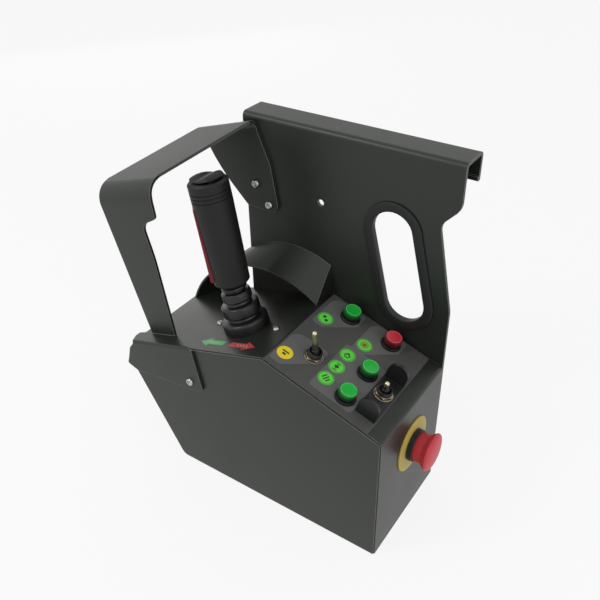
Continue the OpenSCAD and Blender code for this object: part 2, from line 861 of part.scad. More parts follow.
// A printed field round a legend and its switch: a rectangle from a to b with one corner cut off
module field(a, b)
    polygon(rounded([a, [a[0] + field_cut_shares[0] * (b[0] - a[0]), a[1]],
        [b[0], a[1] + field_cut_shares[1] * (b[1] - a[1])], b, [a[0], b[1]]],
        field_bend_shares * legend_r));

// The fields leave room round each legend and round each switch
module label_fields()
{
    edge = legend_r + 4 * print_t;
    rim = bezel_r + bend_r;
    color(pale)
        switch_panel()
            translate([0, 0, label_t])
                linear_extrude(print_t)
                    difference()
                    {
                        union()
                        {
                            field([legend_horn[0] - edge, legend_horn[1] - 2 * edge + bend_r],
                                [toggle_one[0] + edge, toggle_one[1] + rim + bend_r]);
                            field([legend_up[0] - edge, legend_up[1] - rim],
                                [button_rear[0] + rim, button_rear[1] + rim]);
                            field([legend_stop[0] - edge, legend_stop[1] - rim],
                                [button_stop[0] + rim, button_stop[1] + rim]);
                            polygon(round_box([legend_slow[0] - edge, button_front[1] - rim],
                                [toggle_two[0] - horn_w / 2 - 2 * play, legend_drive[1] + rim], edge / 2));
                        }
                        label_holes(play);
                        translate(toggle_one)
                            circle(r = washer_r + play);
                    }
}

module legend(p)
    switch_panel(p)
        bar(legend_r, label_t + print_t, label_t + 2 * print_t);

module legend_yellow()
    color(yellow)
        legend(legend_horn);

module legends_green()
    color(green)
        for (p = [legend_up, legend_drive, legend_lift, legend_slow])
            legend(p);

module legend_red()
    color(red)
        legend(legend_stop);

// A thick arrow that points along x, or against it, with its middle at the origin
module arrow(way)
{
    tip = way * arrow_size[0] / 2;
    neck = tip - way * arrow_size[0] * head_share;
    wide = arrow_size[1] / 2;
    stem = arrow_size[1] * stem_share;
    linear_extrude(print_t)
        polygon([[tip, 0], [neck, wide], [neck, stem], [-tip, stem], [-tip, -stem], [neck, -stem],
            [neck, -wide]]);
}

module arrow_left()
    color(green)
        joystick_panel()
            translate(arrow_left_at)
                arrow(-1);

module arrow_right()
    color(red)
        joystick_panel()
            translate(arrow_right_at)
                arrow(1);

module joystick_flange()
    color(black)
        at_joystick()
            difference()
            {
                union()
                {
                    block([flange_size[0], flange_size[1], flange_t], -sheet_t - flange_t);
                    for (side = [-1, 1])
                        translate([0, side * (cheek_y + cheek_t / 2), 0])
                            block([2 * hub_r, cheek_t, pivot_n + hub_r - sheet_t], -pivot_n - hub_r);
                }
                bar(joy_hole_r, -sheet_t - flange_t - over, over);
                translate([0, 0, -pivot_n])
                    cross_bar(pivot_r + fit, -cheek_y - cheek_t - over, cheek_y + cheek_t + over);
                for (p = flange_screws)
                    translate([p[0], p[1], 0])
                        bar(flange_screw_r + fit, -sheet_t - flange_t - over, over);
            }

module joystick_screws()
    color(steel)
        at_joystick()
            for (p = flange_screws)
                translate([p[0], p[1], 0])
                    difference()
                    {
                        union()
                        {
                            bar(flange_screw_r, -sheet_t - flange_t, 0);
                            bar(flange_head_r, 0, flange_head_h);
                        }
                        hex_bar(flange_screw_r * 2, flange_head_h / 2, flange_head_h + over);
                    }

module joystick_boot()
    color(rubber)
        at_joystick()
            rotate_extrude()
                polygon(rounded(concat([for (p = boot_shares) [p[0] * boot_r, p[1] * boot_h]],
                    [[lever_r + play, boot_h], [lever_r + play, boot_h - boot_wall],
                    [boot_foot_share * boot_r, boot_wall], [boot_foot_share * boot_r, 0]]),
                    concat(boot_bend_shares * boot_wall, [0, 0, 0, 0])));

module joystick_pivot_pin()
    color(steel)
        at_joystick()
            translate([0, 0, -pivot_n])
                cross_bar(pivot_r, -pin_half, pin_half + 2 * cheek_t);

module joystick_shaft()
    color(steel)
        at_joystick()
            difference()
            {
                union()
                {
                    bar(lever_r, -pivot_n, grip_n + lever_in);
                    translate([0, 0, -pivot_n])
                        cross_bar(hub_r, -hub_half, hub_half);
                }
                translate([0, 0, -pivot_n])
                    cross_bar(pivot_r, -hub_half - over, hub_half + over);
            }

// Close-wound springs beside the hub, each with a leg up to the flange
module centring_springs()
    color(steel)
        at_joystick()
            for (side = [-1, 1])
            {
                translate([0, 0, -pivot_n])
                    for (i = [0 : 3])
                        translate([0, side * (cheek_y - spring_wire * (1 + 2 * i)), 0])
                            rotate([90, 0, 0])
                                rotate_extrude($fn = 32)
                                    translate([spring_r, 0])
                                        circle(r = spring_wire, $fn = 16);
                translate([spring_r, side * (cheek_y - spring_wire), 0])
                    bar(spring_wire, -pivot_n, -sheet_t - flange_t);
            }

module angle_sensor()
{
    body = [2 * hub_r, 3 * cheek_t, 2 * hub_r];
    color(black)
        at_joystick()
            difference()
            {
                translate([0, cheek_y + cheek_t + body[1] / 2, 0])
                    block(body, -pivot_n - hub_r);
                translate([0, 0, -pivot_n])
                    cross_bar(pivot_r + play, cheek_y, pin_half + 2 * cheek_t + play);
            }
}

// The grip's lower end is round, its sides taper a little, and rings are cut in below the cap
module joystick_grip()
{
    top_r = grip_r;
    foot_r = grip_r * grip_foot_share;
    slot_w = trigger_w + 2 * play;
    low = [[0, 0], [foot_r * 4 / 5, 0], [foot_r, foot_r / 5],
        [top_r, grip_l - (grip_rings + 1) * ring_pitch]];
    rings = [for (i = [grip_rings : -1 : 1]) each [[top_r, grip_l - i * ring_pitch],
        [top_r - ring_cut, grip_l - i * ring_pitch], [top_r - ring_cut, grip_l - i * ring_pitch + ring_cut],
        [top_r, grip_l - i * ring_pitch + ring_cut]]];
    color(black)
        difference()
        {
            at_grip()
                difference()
                {
                    rotate_extrude()
                        polygon(concat(low, rings, [[top_r, grip_l], [0, grip_l]]));
                    rotate([0, 0, trigger_turn])
                    {
                        translate([-trigger_floor - grip_r, -slot_w / 2, trigger_z[0] - trigger_pin_r])
                            cube([grip_r, slot_w, trigger_z[1] - trigger_z[0] + 2 * trigger_pin_r]);
                        translate([trigger_pivot[0], 0, trigger_pivot[1]])
                            cross_bar(trigger_pin_r + fit, -trigger_w, trigger_w);
                    }
                    translate([0, 0, grip_l - rocker_gap])
                        linear_extrude(rocker_gap + over)
                            square([pocket[0] - 2 * bend_r, pocket[1]], center = true);
                }
            at_joystick()
                bar(lever_r + fit, 0, grip_n + lever_in + play);
        }
}

module grip_cap()
{
    top_r = grip_r;
    color(black)
        at_grip()
            difference()
            {
                translate([0, 0, grip_l])
                    rotate_extrude()
                        polygon([[0, 0], [top_r, 0], [top_r, cap_h * 2 / 3], [top_r - cap_h / 3, cap_h],
                            [0, cap_h]]);
                translate([0, 0, grip_l - over])
                    linear_extrude(cap_h + 2 * over)
                        square(pocket, center = true);
                translate([0, 0, grip_l + cap_h / 2])
                    cross_bar(rocker_pin_r, -rocker_pin_half, rocker_pin_half);
            }
}

// Seen from the side, the rocker has a hollow for the thumb between two lobes
module thumb_rocker()
{
    half = pocket[0] / 2 - 2 * play - rocker_gap;
    tall = cap_h + rocker_h;
    color(rubber)
        at_grip()
            translate([0, 0, grip_l])
                difference()
                {
                    upright(-pocket[1] / 2 + play, pocket[1] / 2 - play)
                        polygon(rounded(concat([for (p = rocker_shares) [p[0] * half, p[1] * tall]],
                            [[half / 4, slice], [-half / 4, slice]]),
                            rocker_bend_shares * half));
                    translate([0, 0, cap_h / 2])
                        cross_bar(rocker_pin_r + fit, -pocket[1], pocket[1]);
                }
}

module rocker_pin()
    color(steel)
        at_grip()
            translate([0, 0, grip_l + cap_h / 2])
                cross_bar(rocker_pin_r, -rocker_pin_half, rocker_pin_half);

module enable_trigger()
{
    low = trigger_z[0];
    high = trigger_z[1];
    outer = grip_r + play;
    inner = -trigger_floor - play;
    foot_r = grip_r * grip_foot_share + play;
    color(red)
        at_trigger()
            difference()
            {
                upright(-trigger_w / 2, trigger_w / 2)
                    polygon(rounded([[-outer, high], [-foot_r - trigger_out, low], [inner - trigger_out, low],
                        [inner - trigger_out / 2, high - trigger_floor], [inner, high]],
                        [trigger_out, trigger_out, play, 0, play]));
                translate([trigger_pivot[0], 0, trigger_pivot[1]])
                    cross_bar(trigger_pin_r + fit, -trigger_w, trigger_w);
            }
}

module trigger_pin()
    color(steel)
        at_trigger()
            translate([trigger_pivot[0], 0, trigger_pivot[1]])
                cross_bar(trigger_pin_r, -trigger_w * 4 / 5, trigger_w * 4 / 5);

// A push button is a ring with its barrel, a contact block under the panel, a nut, and a cap on a stem
module at_buttons()
    for (p = [button_rear, button_stop, button_mid, button_front])
        switch_panel(p)
            children();

module button_bezels()
    color(black)
        at_buttons()
            difference()
            {
                union()
                {
                    bar(bezel_r, 0, bezel_h);
                    bar(barrel_r, -barrel_l, 0);
                }
                bar(button_r + play, bezel_floor, bezel_h + over);
                bar(bore_r + fit, -barrel_l - over, bezel_floor + over);
            }

module button_bodies()
    color(black)
        at_buttons()
            difference()
            {
                block([body_w, body_w, body_l], -barrel_l - body_l);
                bar(bore_r + fit, -barrel_l - 2 * button_travel, -barrel_l + over);
            }

module button_nuts()
    color(black)
        at_buttons()
            difference()
            {
                hex_bar(switch_nut_af, -sheet_t - switch_nut_h, -sheet_t);
                bar(barrel_r + fit, -sheet_t - switch_nut_h - over, over);
            }

module button_cap(p)
{
    foot = bezel_floor + button_travel + play;
    edge = 3 * play;
    switch_panel(p)
    {
        rotate_extrude()
            polygon([[0, foot], [button_r, foot], [button_r, button_h - edge], [button_r - edge, button_h],
                [0, button_h]]);
        bar(bore_r, -barrel_l, foot + play);
    }
}

module button_green_rear()
    color(green)
        button_cap(button_rear);

module button_red()
    color(red)
        button_cap(button_stop);

module button_green_mid()
    color(green)
        button_cap(button_mid);

module button_green_front()
    color(green)
        button_cap(button_front);

// Height at which each toggle's washer sits
function seat(second) = label_t + (second ? guard_t : 0);
function nut_top(second) = seat(second) + washer_t + toggle_nut_h;

// A bushing with its sealing bell, whose mouth widens so that the lever can swing
module toggle_bushings()
    color(black)
        for (second = [false, true])
            switch_panel(second ? toggle_two : toggle_one)
                difference()
                {
                    rotate_extrude()
                        polygon([[0, -sheet_t], [bushing_r, -sheet_t], [bushing_r, nut_top(second)],
                            [bell_r, nut_top(second)], [bell_r, nut_top(second) + bend_r / 2],
                            [mouth_r + 2 * play, bushing_top], [0, bushing_top]]);
                    bar(ball_r + play, -sheet_t - over, toggle_pivot_n + slice);
                    translate([0, 0, toggle_pivot_n])
                        cylinder(r1 = ball_r + play, r2 = mouth_r, h = bushing_top - toggle_pivot_n + slice);
                    translate([0, 0, toggle_pivot_n])
                        cross_bar(toggle_pin_r, -bushing_r - bell_r, bushing_r + bell_r);
                }

// The pins on which the levers turn
module toggle_pins()
    color(steel)
        for (p = [toggle_one, toggle_two])
            switch_panel(p)
                translate([0, 0, toggle_pivot_n])
                    cross_bar(toggle_pin_r, -bushing_r, bushing_r);

module toggle_washers()
    color(steel)
        for (second = [false, true])
            switch_panel(second ? toggle_two : toggle_one)
                difference()
                {
                    bar(washer_r, seat(second), seat(second) + washer_t);
                    bar(bushing_r + fit, 0, bushing_top);
                }

module toggle_nuts()
    color(steel)
        for (second = [false, true])
            switch_panel(second ? toggle_two : toggle_one)
                difference()
                {
                    hex_bar(toggle_nut_af, seat(second) + washer_t, nut_top(second));
                    bar(bushing_r + fit, 0, 2 * bushing_top);
                }

module toggle_bodies()
    color(black)
        for (p = [toggle_one, toggle_two])
            switch_panel(p)
                block(toggle_body, -sheet_t - toggle_body[2]);

// A toggle lever is a ball in the bushing, a rubber cone, and a rod with a round tip
module toggle_lever(p, long, lean)
{
    tip_r = ball_r * 3 / 5;
    cone_l = cone_l_share * (long + toggle_one_l) / 2;
    switch_panel(p)
        translate([0, 0, toggle_pivot_n])
            rotate([0, -lean, 0])
                difference()
                {
                    union()
                    {
                        intersection()
                        {
                            sphere(r = ball_r);
                            bar(2 * ball_r, -ball_r / 2, ball_r);
                        }
                        translate([0, 0, ball_r / 3])
                            cylinder(r1 = ball_r * cone_shares[0], r2 = ball_r * cone_shares[1],
                                h = cone_l - ball_r / 3);
                        translate([0, 0, cone_l / 2])
                            cylinder(r1 = tip_r * 4 / 5, r2 = tip_r, h = long - tip_r - cone_l / 2);
                        translate([0, 0, long - tip_r])
                            sphere(r = tip_r);
                    }
                    cross_bar(toggle_pin_r + fit, -2 * ball_r, 2 * ball_r);
                }
}

module toggle_one_lever()
    color(steel)
        toggle_lever(toggle_one, toggle_one_l, toggle_one_lean);

module toggle_two_lever()
    color(steel)
        toggle_lever(toggle_two, toggle_two_l, toggle_two_lean);

// Two rounded horns on one thin plate, held under the second toggle's washer
module toggle_guard()
{
    s0 = toggle_two[0] - horn_w / 2;
    middle_r = horn_w / 2;
    color(black)
        switch_panel()
            difference()
            {
                union()
                {
                    translate([s0, guard_y[0], label_t])
                        cube([horn_w, guard_y[1] - guard_y[0], guard_t]);
                    for (i = [0, 1])
                        translate([toggle_two[0], i == 0 ? guard_y[0] : guard_y[1] - horn_t, 0])
                        {
                            cross_bar_at(horn_h - middle_r + label_t, middle_r, horn_t);
                            translate([-middle_r, 0, label_t])
                                cube([horn_w, horn_t, horn_h - middle_r]);
                        }
                }
                translate(toggle_two)
                    bar(bushing_r + play, 0, horn_h);
            }
}

module cross_bar_at(z, r, long)
    translate([0, 0, z])
        cross_bar(r, 0, long);

module estop_disc()
    color(yellow)
        at_estop()
            difference()
            {
                bar(disc_r, 0, disc_t);
                bar(estop_barrel_r + screw_gap, -over, disc_t + over);
            }

module estop_collar()
    color(black)
        at_estop()
            difference()
            {
                union()
                {
                    bar(collar_r, disc_t, disc_t + collar_h);
                    bar(estop_barrel_r, -estop_barrel_l, disc_t + over);
                }
                bar(skirt_r + play, disc_t + estop_floor, disc_t + collar_h + over);
                bar(plunger_r + fit, -estop_barrel_l - over, disc_t + collar_h);
            }

module estop_nut()
    color(black)
        at_estop()
            difference()
            {
                bar(estop_barrel_r * 4 / 3, -sheet_t - flange_t, -sheet_t);
                bar(estop_barrel_r + fit, -sheet_t - flange_t - over, over);
            }

module estop_contact_block()
    color(black)
        at_estop()
            difference()
            {
                block(block_size, -estop_barrel_l - block_size[2]);
                bar(plunger_r + fit, -estop_barrel_l - 2 * estop_travel, -estop_barrel_l + over);
            }

// The plunger slides in the collar; its shoulder carries the head, which turns on it
module estop_plunger()
{
    shoulder = head_h * estop_shoulder_share;
    color(steel)
        at_estop()
        {
            bar(plunger_r, -estop_barrel_l, shoulder + plunger_r);
            bar(skirt_r * 2 / 3, shoulder - disc_t, shoulder);
        }
}

module estop_head()
{
    shoulder = head_h * estop_shoulder_share;
    foot = disc_t + estop_floor + estop_travel + play;
    inside = skirt_r * 4 / 5;
    rim = head_h - shoulder;
    color(red)
        at_estop()
            difference()
            {
                rotate_extrude()
                    polygon(rounded([[0, shoulder], [inside, shoulder], [inside, foot], [skirt_r, foot],
                        [skirt_r, shoulder + rim / 4], [head_r, shoulder + rim / 3],
                        [head_r, head_h - rim / 5], [head_r * 4 / 5, head_h], [0, head_h]],
                        [0, 0, 0, 0, 3 * play, 2 * disc_t, disc_t, 6 * disc_t, 0]));
                bar(plunger_r + fit, 0, shoulder + plunger_r + play);
            }
}

// Corners of the control board, at its standoffs
module at_board_corners()
    for (x = [board_inset, board_size[0] - board_inset], y = [board_inset, board_size[1] - board_inset])
        centred()
            translate([board_at[0] + x, board_at[1] + y, 0])
                children();

module board_standoffs()
    color(steel)
        at_board_corners()
            difference()
            {
                bar(standoff_r, sheet_t, sheet_t + standoff_h);
                bar(board_screw_r + fit, 0, sheet_t + standoff_h + over);
            }

module board_screws()
    color(steel)
        at_board_corners()
        {
            bar(board_screw_r, sheet_t + standoff_h / 3, sheet_t + standoff_h + board_size[2]);
            bar(2 * board_screw_r, sheet_t + standoff_h + board_size[2],
                sheet_t + standoff_h + 2 * board_size[2]);
        }

module control_board()
    color(board_green)
        difference()
        {
            centred()
                translate([board_at[0], board_at[1], sheet_t + standoff_h])
                    cube(board_size);
            at_board_corners()
                bar(board_screw_r + fit, 0, 2 * standoff_h);
        }

module on_board(x_share, y_share)
    centred()
        translate([board_at[0] + x_share * board_size[0], board_at[1] + y_share * board_size[1],
            sheet_t + standoff_h + board_size[2]])
            children();

module relay()
    color(black)
        on_board(relay_shares[0], relay_shares[1])
            block(relay_size, 0);

module terminal_block()
    color(green)
        on_board(terminal_shares[0], terminal_shares[1])
            block(terminal_size, 0);

module cable_gland()
    color(black)
        at_gland()
            difference()
            {
                union()
                {
                    hex_bar(gland_hex_af, 0, gland_hex_h);
                    bar(gland_r, -gland_in, 0);
                    bar(gland_dome_r, gland_hex_h, gland_l);
                }
                bar(cable_r, -gland_in - over, gland_l + over);
            }

module gland_nut()
    color(black)
        at_gland()
            difference()
            {
                hex_bar(gland_hex_af, -sheet_t - gland_nut_h, -sheet_t);
                bar(gland_r + fit, -sheet_t - gland_nut_h - over, over);
            }

front_plate();
wrap_shell();
bottom_pan();
pan_screws();
back_plate();
arch_hood();
guard_strap();
guard_screws();
guard_nuts();
handle_trim();
switch_label();
label_fields();
legend_yellow();
legends_green();
legend_red();
arrow_left();
arrow_right();
joystick_flange();
joystick_screws();
joystick_boot();
joystick_pivot_pin();
joystick_shaft();
centring_springs();
angle_sensor();
joystick_grip();
grip_cap();
thumb_rocker();
rocker_pin();
enable_trigger();
trigger_pin();
button_bezels();
button_bodies();
button_nuts();
button_green_rear();
button_red();
button_green_mid();
button_green_front();
toggle_bushings();
toggle_washers();
toggle_nuts();
toggle_bodies();
toggle_one_lever();
toggle_two_lever();
toggle_pins();
toggle_guard();
estop_disc();
estop_collar();
estop_nut();
estop_contact_block();
estop_plunger();
estop_head();
board_standoffs();
board_screws();
control_board();
relay();
terminal_block();
cable_gland();
gland_nut();
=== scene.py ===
"""Looks and fine pieces of a scissor lift control box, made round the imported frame.

Sizes in the classes are millimetres in one of the work frames of Place. Each finished piece is turned
into metres in the row frame before it is handed to the frame.
"""
import logging
import math
from dataclasses import dataclass
from enum import Enum
from typing import Callable, Dict, Iterable, List, Mapping, Optional, Sequence, Tuple, Union

import bmesh
import bpy
from mathutils import Matrix, Vector


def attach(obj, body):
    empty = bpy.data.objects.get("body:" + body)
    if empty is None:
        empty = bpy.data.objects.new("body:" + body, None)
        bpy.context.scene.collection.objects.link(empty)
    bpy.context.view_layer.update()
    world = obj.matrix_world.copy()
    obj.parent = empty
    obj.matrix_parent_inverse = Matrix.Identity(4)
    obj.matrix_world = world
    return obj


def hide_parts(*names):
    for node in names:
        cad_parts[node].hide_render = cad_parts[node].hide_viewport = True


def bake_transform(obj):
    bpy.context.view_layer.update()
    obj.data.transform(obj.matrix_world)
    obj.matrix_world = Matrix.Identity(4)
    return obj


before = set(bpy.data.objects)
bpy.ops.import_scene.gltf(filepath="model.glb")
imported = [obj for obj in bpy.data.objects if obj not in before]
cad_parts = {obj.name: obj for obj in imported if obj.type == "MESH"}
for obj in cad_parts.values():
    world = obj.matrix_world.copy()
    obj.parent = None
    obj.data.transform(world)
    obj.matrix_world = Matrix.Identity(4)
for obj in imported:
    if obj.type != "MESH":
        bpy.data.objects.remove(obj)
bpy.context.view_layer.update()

LOG = logging.getLogger("control_box")
MM = 0.001
# Corners nearer than this are one, and a ring smaller than this is a pole, in millimetres.
WELD = 1e-4
ON_AXIS = 1e-6
# Angle in degrees over which an edge stays sharp in the shading.
CREASE = 32.0
WHITE = (1.0, 1.0, 1.0, 1.0)
BLACK = (0.0, 0.0, 0.0, 1.0)
Colour = Tuple[float, float, float]
Point = Tuple[float, float]
Spot = Tuple[float, float, float]


def turn(degrees: float, axis: str) -> Matrix:
    """Returns a rotation about a named axis."""
    return Matrix.Rotation(math.radians(degrees), 4, axis)


def shift(x: float, y: float, z: float) -> Matrix:
    """Returns a translation."""
    return Matrix.Translation((x, y, z))


@dataclass(frozen=True)
class Body:
    """Sizes of the folded box and its joystick that the other pieces are placed by."""

    base_w: float = 256.0
    box_d: float = 130.5
    plate_t: float = 3.0
    ridge: Point = (124.8, 201.3)
    joy_slope: float = 17.2
    switch_slope: float = 18.2
    joy: Point = (-61.0, 53.2)
    boot_h: float = 48.6
    boot_gap: float = 0.4
    grip_r: float = 20.2
    grip_foot_share: float = 0.92
    grip_lean: float = 6.3
    estop: Point = (70.4, 101.2)

    @property
    def grip_n(self) -> float:
        """Height over the joystick panel at which the leaning grip starts."""
        foot_r = self.grip_r * self.grip_foot_share
        return self.boot_h + self.boot_gap + foot_r * math.sin(math.radians(self.grip_lean))


BOX = Body()


class Place(Enum):
    """Work frames in millimetres, each as its matrix into the row frame in metres."""

    CORNER = Matrix.Scale(MM, 4) @ shift(-BOX.base_w / 2, -BOX.box_d / 2, 0)
    JOY_PANEL = CORNER @ shift(BOX.ridge[0], 0, BOX.ridge[1]) @ turn(-BOX.joy_slope, "Y")
    JOYSTICK = JOY_PANEL @ shift(BOX.joy[0], BOX.joy[1], 0)
    GRIP = JOYSTICK @ shift(0, 0, BOX.grip_n) @ turn(BOX.grip_lean, "Y")
    SWITCHES = CORNER @ shift(BOX.ridge[0], 0, BOX.ridge[1]) @ turn(BOX.switch_slope, "Y")
    ESTOP = CORNER @ shift(BOX.base_w, BOX.estop[0], BOX.estop[1]) @ turn(90, "Y")

    def at(self, x: float, y: float, z: float = 0.0) -> Matrix:
        """Returns this frame moved to a point in it."""
        return self.value @ shift(x, y, z)

    def point(self, x: float, y: float, z: float) -> Vector:
        """Returns a point of this frame in the row frame, in metres."""
        return self.value @ Vector((x, y, z))


def maths(operation: str, other_first: bool = False) -> Callable[["Signal", "Value"], "Signal"]:
    """Makes an operator of Signal.

    Args:
        operation: The Math node's operation.
        other_first: Whether the other value goes first, as in the reflected forms.

    Returns:
        The method, which adds one Math node and returns its result.
    """

    def operator(self: "Signal", other: "Value") -> "Signal":
        """Adds the Math node.

        Args:
            self: The signal.
            other: The other value.

        Returns:
            The node's result.
        """
        pair = (other, self) if other_first else (self, other)
        node = self.tree.add("ShaderNodeMath", {"operation": operation}, dict(enumerate(pair)))
        return Signal(self.tree, node.outputs[0])

    return operator


class Signal:
    """A number that varies over a surface; arithmetic on it adds Math nodes to its tree."""

    def __init__(self, tree: "Tree", socket: bpy.types.NodeSocket) -> None:
        """Wraps one output socket of a tree."""
        self.tree = tree
        self.socket = socket

    __add__ = maths("ADD")
    __radd__ = maths("ADD", other_first=True)
    __sub__ = maths("SUBTRACT")
    __rsub__ = maths("SUBTRACT", other_first=True)
    __mul__ = maths("MULTIPLY")
    __rmul__ = maths("MULTIPLY", other_first=True)
    __truediv__ = maths("DIVIDE")
    __rtruediv__ = maths("DIVIDE", other_first=True)
    highest = maths("MAXIMUM")

    def ramp(self, start: float, end: float) -> "Signal":
        """Makes a soft step.

        Args:
            start: Where it leaves 0.
            end: Where it reaches 1.

        Returns:
            The step.
        """
        node = self.tree.add(
            "ShaderNodeMapRange",
            {"interpolation_type": "SMOOTHSTEP"},
            {"Value": self, "From Min": start, "From Max": end, "To Min": 0.0, "To Max": 1.0},
        )
        return Signal(self.tree, node.outputs[0])


Value = Union[Signal, float]


class Tree:
    """A node tree with one method for any node, and the few patterns that the finishes share."""

    def __init__(self, tree: bpy.types.NodeTree) -> None:
        """Wraps an empty node tree."""
        self.tree = tree

    def feed(self, socket: bpy.types.NodeSocket, value: object) -> None:
        """Links a value to a socket, or writes it there if it is plain.

        Args:
            socket: The input to fill.
            value: A Signal, an output socket, or a plain number, colour, vector or name.
        """
        if isinstance(value, Signal):
            self.tree.links.new(value.socket, socket)
        elif isinstance(value, bpy.types.NodeSocket):
            self.tree.links.new(value, socket)
        else:
            socket.default_value = value

    def add(
        self,
        kind: str,
        settings: Optional[Mapping[str, object]] = None,
        values: Optional[Mapping[Union[str, int], object]] = None,
    ) -> bpy.types.Node:
        """Adds a node.

        Args:
            kind: The node's type.
            settings: Properties of the node, set first.
            values: What goes into its sockets, by name or number.

        Returns:
            The node.
        """
        node = self.tree.nodes.new(kind)
        for name, value in (settings or {}).items():
            setattr(node, name, value)
        for key, value in (values or {}).items():
            self.feed(node.inputs[key], value)
        return node

    def where(self) -> bpy.types.NodeSocket:
        """Returns the place on the piece, in metres of the row frame."""
        return self.add("ShaderNodeTexCoord").outputs["Object"]

    def dot(self, first: object, second: object) -> Signal:
        """Returns the dot product of two vectors."""
        node = self.add("ShaderNodeVectorMath", {"operation": "DOT_PRODUCT"}, {0: first, 1: second})
        return Signal(self, node.outputs["Value"])

    def along(self, direction: Vector, origin: Vector) -> Signal:
        """Returns how far a point lies from an origin along a direction, in millimetres."""
        return (self.dot(self.where(), direction) - direction.dot(origin)) / MM

    def noise(self, size_mm: float, detail: float = 2.0, stretch: Spot = (1.0, 1.0, 1.0)) -> Signal:
        """Makes soft noise.

        Args:
            size_mm: Size of its spots.
            detail: Octaves of finer noise.
            stretch: How much the noise is squeezed along each axis.

        Returns:
            The noise, from 0 to 1.
        """
        mapping = self.add("ShaderNodeMapping", None, {"Vector": self.where(), "Scale": stretch})
        values = {"Vector": mapping.outputs[0], "Scale": 1 / (size_mm * MM), "Detail": detail}
        node = self.add("ShaderNodeTexNoise", None, {**values, "Roughness": 0.55})
        return Signal(self, node.outputs["Fac"])

    def mix(self, share: Value, low: object, high: object) -> bpy.types.NodeSocket:
        """Mixes two colours.

        Args:
            share: How much of the second, from 0 to 1.
            low: The first colour, plain or as a socket.
            high: The second colour, plain or as a socket.

        Returns:
            The colour between them.
        """
        low, high = ((*c, 1.0) if isinstance(c, tuple) else c for c in (low, high))
        node = self.add(
            "ShaderNodeMix", {"data_type": "RGBA", "clamp_factor": True}, {"Factor": share, 6: low, 7: high}
        )
        return node.outputs[2]

    def round_edges(self, radius_mm: float) -> Tuple[bpy.types.NodeSocket, Signal]:
        """Rounds sharp edges in the shading.

        Args:
            radius_mm: Radius of the rounding.

        Returns:
            The rounded normal, and a mask that is 1 on the edges.
        """
        slight, clear = 0.01, 0.12
        bevel = self.add("ShaderNodeBevel", {"samples": 6}, {"Radius": radius_mm * MM})
        plain = self.add("ShaderNodeNewGeometry").outputs["Normal"]
        return bevel.outputs[0], (1 - self.dot(bevel.outputs[0], plain)).ramp(slight, clear)

    def bumped(
        self, height: Signal, depth_mm: float, normal: Optional[bpy.types.NodeSocket] = None
    ) -> bpy.types.NodeSocket:
        """Makes the normal of an uneven surface.

        Args:
            height: Its height, from 0 to 1.
            depth_mm: What a height of 1 stands for.
            normal: The normal that it starts from, if not the plain one.

        Returns:
            The normal.
        """
        values = {"Height": height, "Distance": depth_mm * MM, "Strength": 1.0}
        if normal is not None:
            values["Normal"] = normal
        return self.add("ShaderNodeBump", None, values).outputs[0]


def own_tree(owner: Union[bpy.types.Material, bpy.types.World]) -> Tree:
    """Empties the node tree of a material or a world.

    Args:
        owner: The material or the world.

    Returns:
        The tree.
    """
    owner.use_nodes = True
    owner.node_tree.nodes.clear()
    return Tree(owner.node_tree)


@dataclass(frozen=True)
class Finish:
    """A finish with a tint; its kinds say how the tint and the surface vary. Lengths are millimetres."""

    name: str
    tint: Colour
    rough: float
    edge: float = 0.35
    specular: float = 0.5

    def shade(self, share: float) -> Colour:
        """Returns the tint made lighter or darker by a share."""
        return tuple(min(1.0, part * share) for part in self.tint)

    def paint(self, tree: Tree) -> Dict[str, object]:
        """Lays out the shader.

        Args:
            tree: The material's tree.

        Returns:
            The values and links of the shader's sockets.
        """
        raise NotImplementedError

    def material(self) -> bpy.types.Material:
        """Makes the material of this finish, once.

        Returns:
            The material.
        """
        found = bpy.data.materials.get(self.name)
        if found is not None:
            return found
        made = bpy.data.materials.new(self.name)
        tree = own_tree(made)
        sockets = {"Specular IOR Level": self.specular, **self.paint(tree)}
        shader = tree.add("ShaderNodeBsdfPrincipled", None, sockets)
        tree.add("ShaderNodeOutputMaterial", None, {"Surface": shader.outputs[0]})
        return made


@dataclass(frozen=True)
class PowderCoat(Finish):
    """Baked powder paint: a fine orange peel, and edges painted paler, as a painted highlight with a little
    wear.
    """

    peel: float = 1.1
    peel_depth: float = 0.012
    # Colour of the edges: a painted highlight, with a little wear.
    worn_and_highlit: Colour = (0.42, 0.43, 0.40)
    sheen: Colour = (0.84, 0.90, 0.83)

    def paint(self, tree: Tree) -> Dict[str, object]:
        """Lays out the shader.

        Args:
            tree: The material's tree.

        Returns:
            The values and links of the shader's sockets.
        """
        normal, edge = tree.round_edges(self.edge)
        cloud = tree.noise(size_mm=70.0, detail=3.0)
        speck = tree.noise(size_mm=0.5, detail=1.0)
        peel = tree.noise(self.peel)
        base = tree.mix(cloud, self.shade(0.9), self.shade(1.1))
        base = tree.mix(speck.ramp(0.62, 0.8) * 0.25, base, self.shade(1.5))
        return {
            # Painted highlight: the edges are painted pale, partly as wear.
            "Base Color": tree.mix(edge * 0.6, base, self.worn_and_highlit),
            "Roughness": self.rough + 0.1 * (cloud - 0.5) + 0.06 * (peel - 0.5),
            "Specular Tint": (*self.sheen, 1.0),
            "Normal": tree.bumped(peel, self.peel_depth, normal),
        }


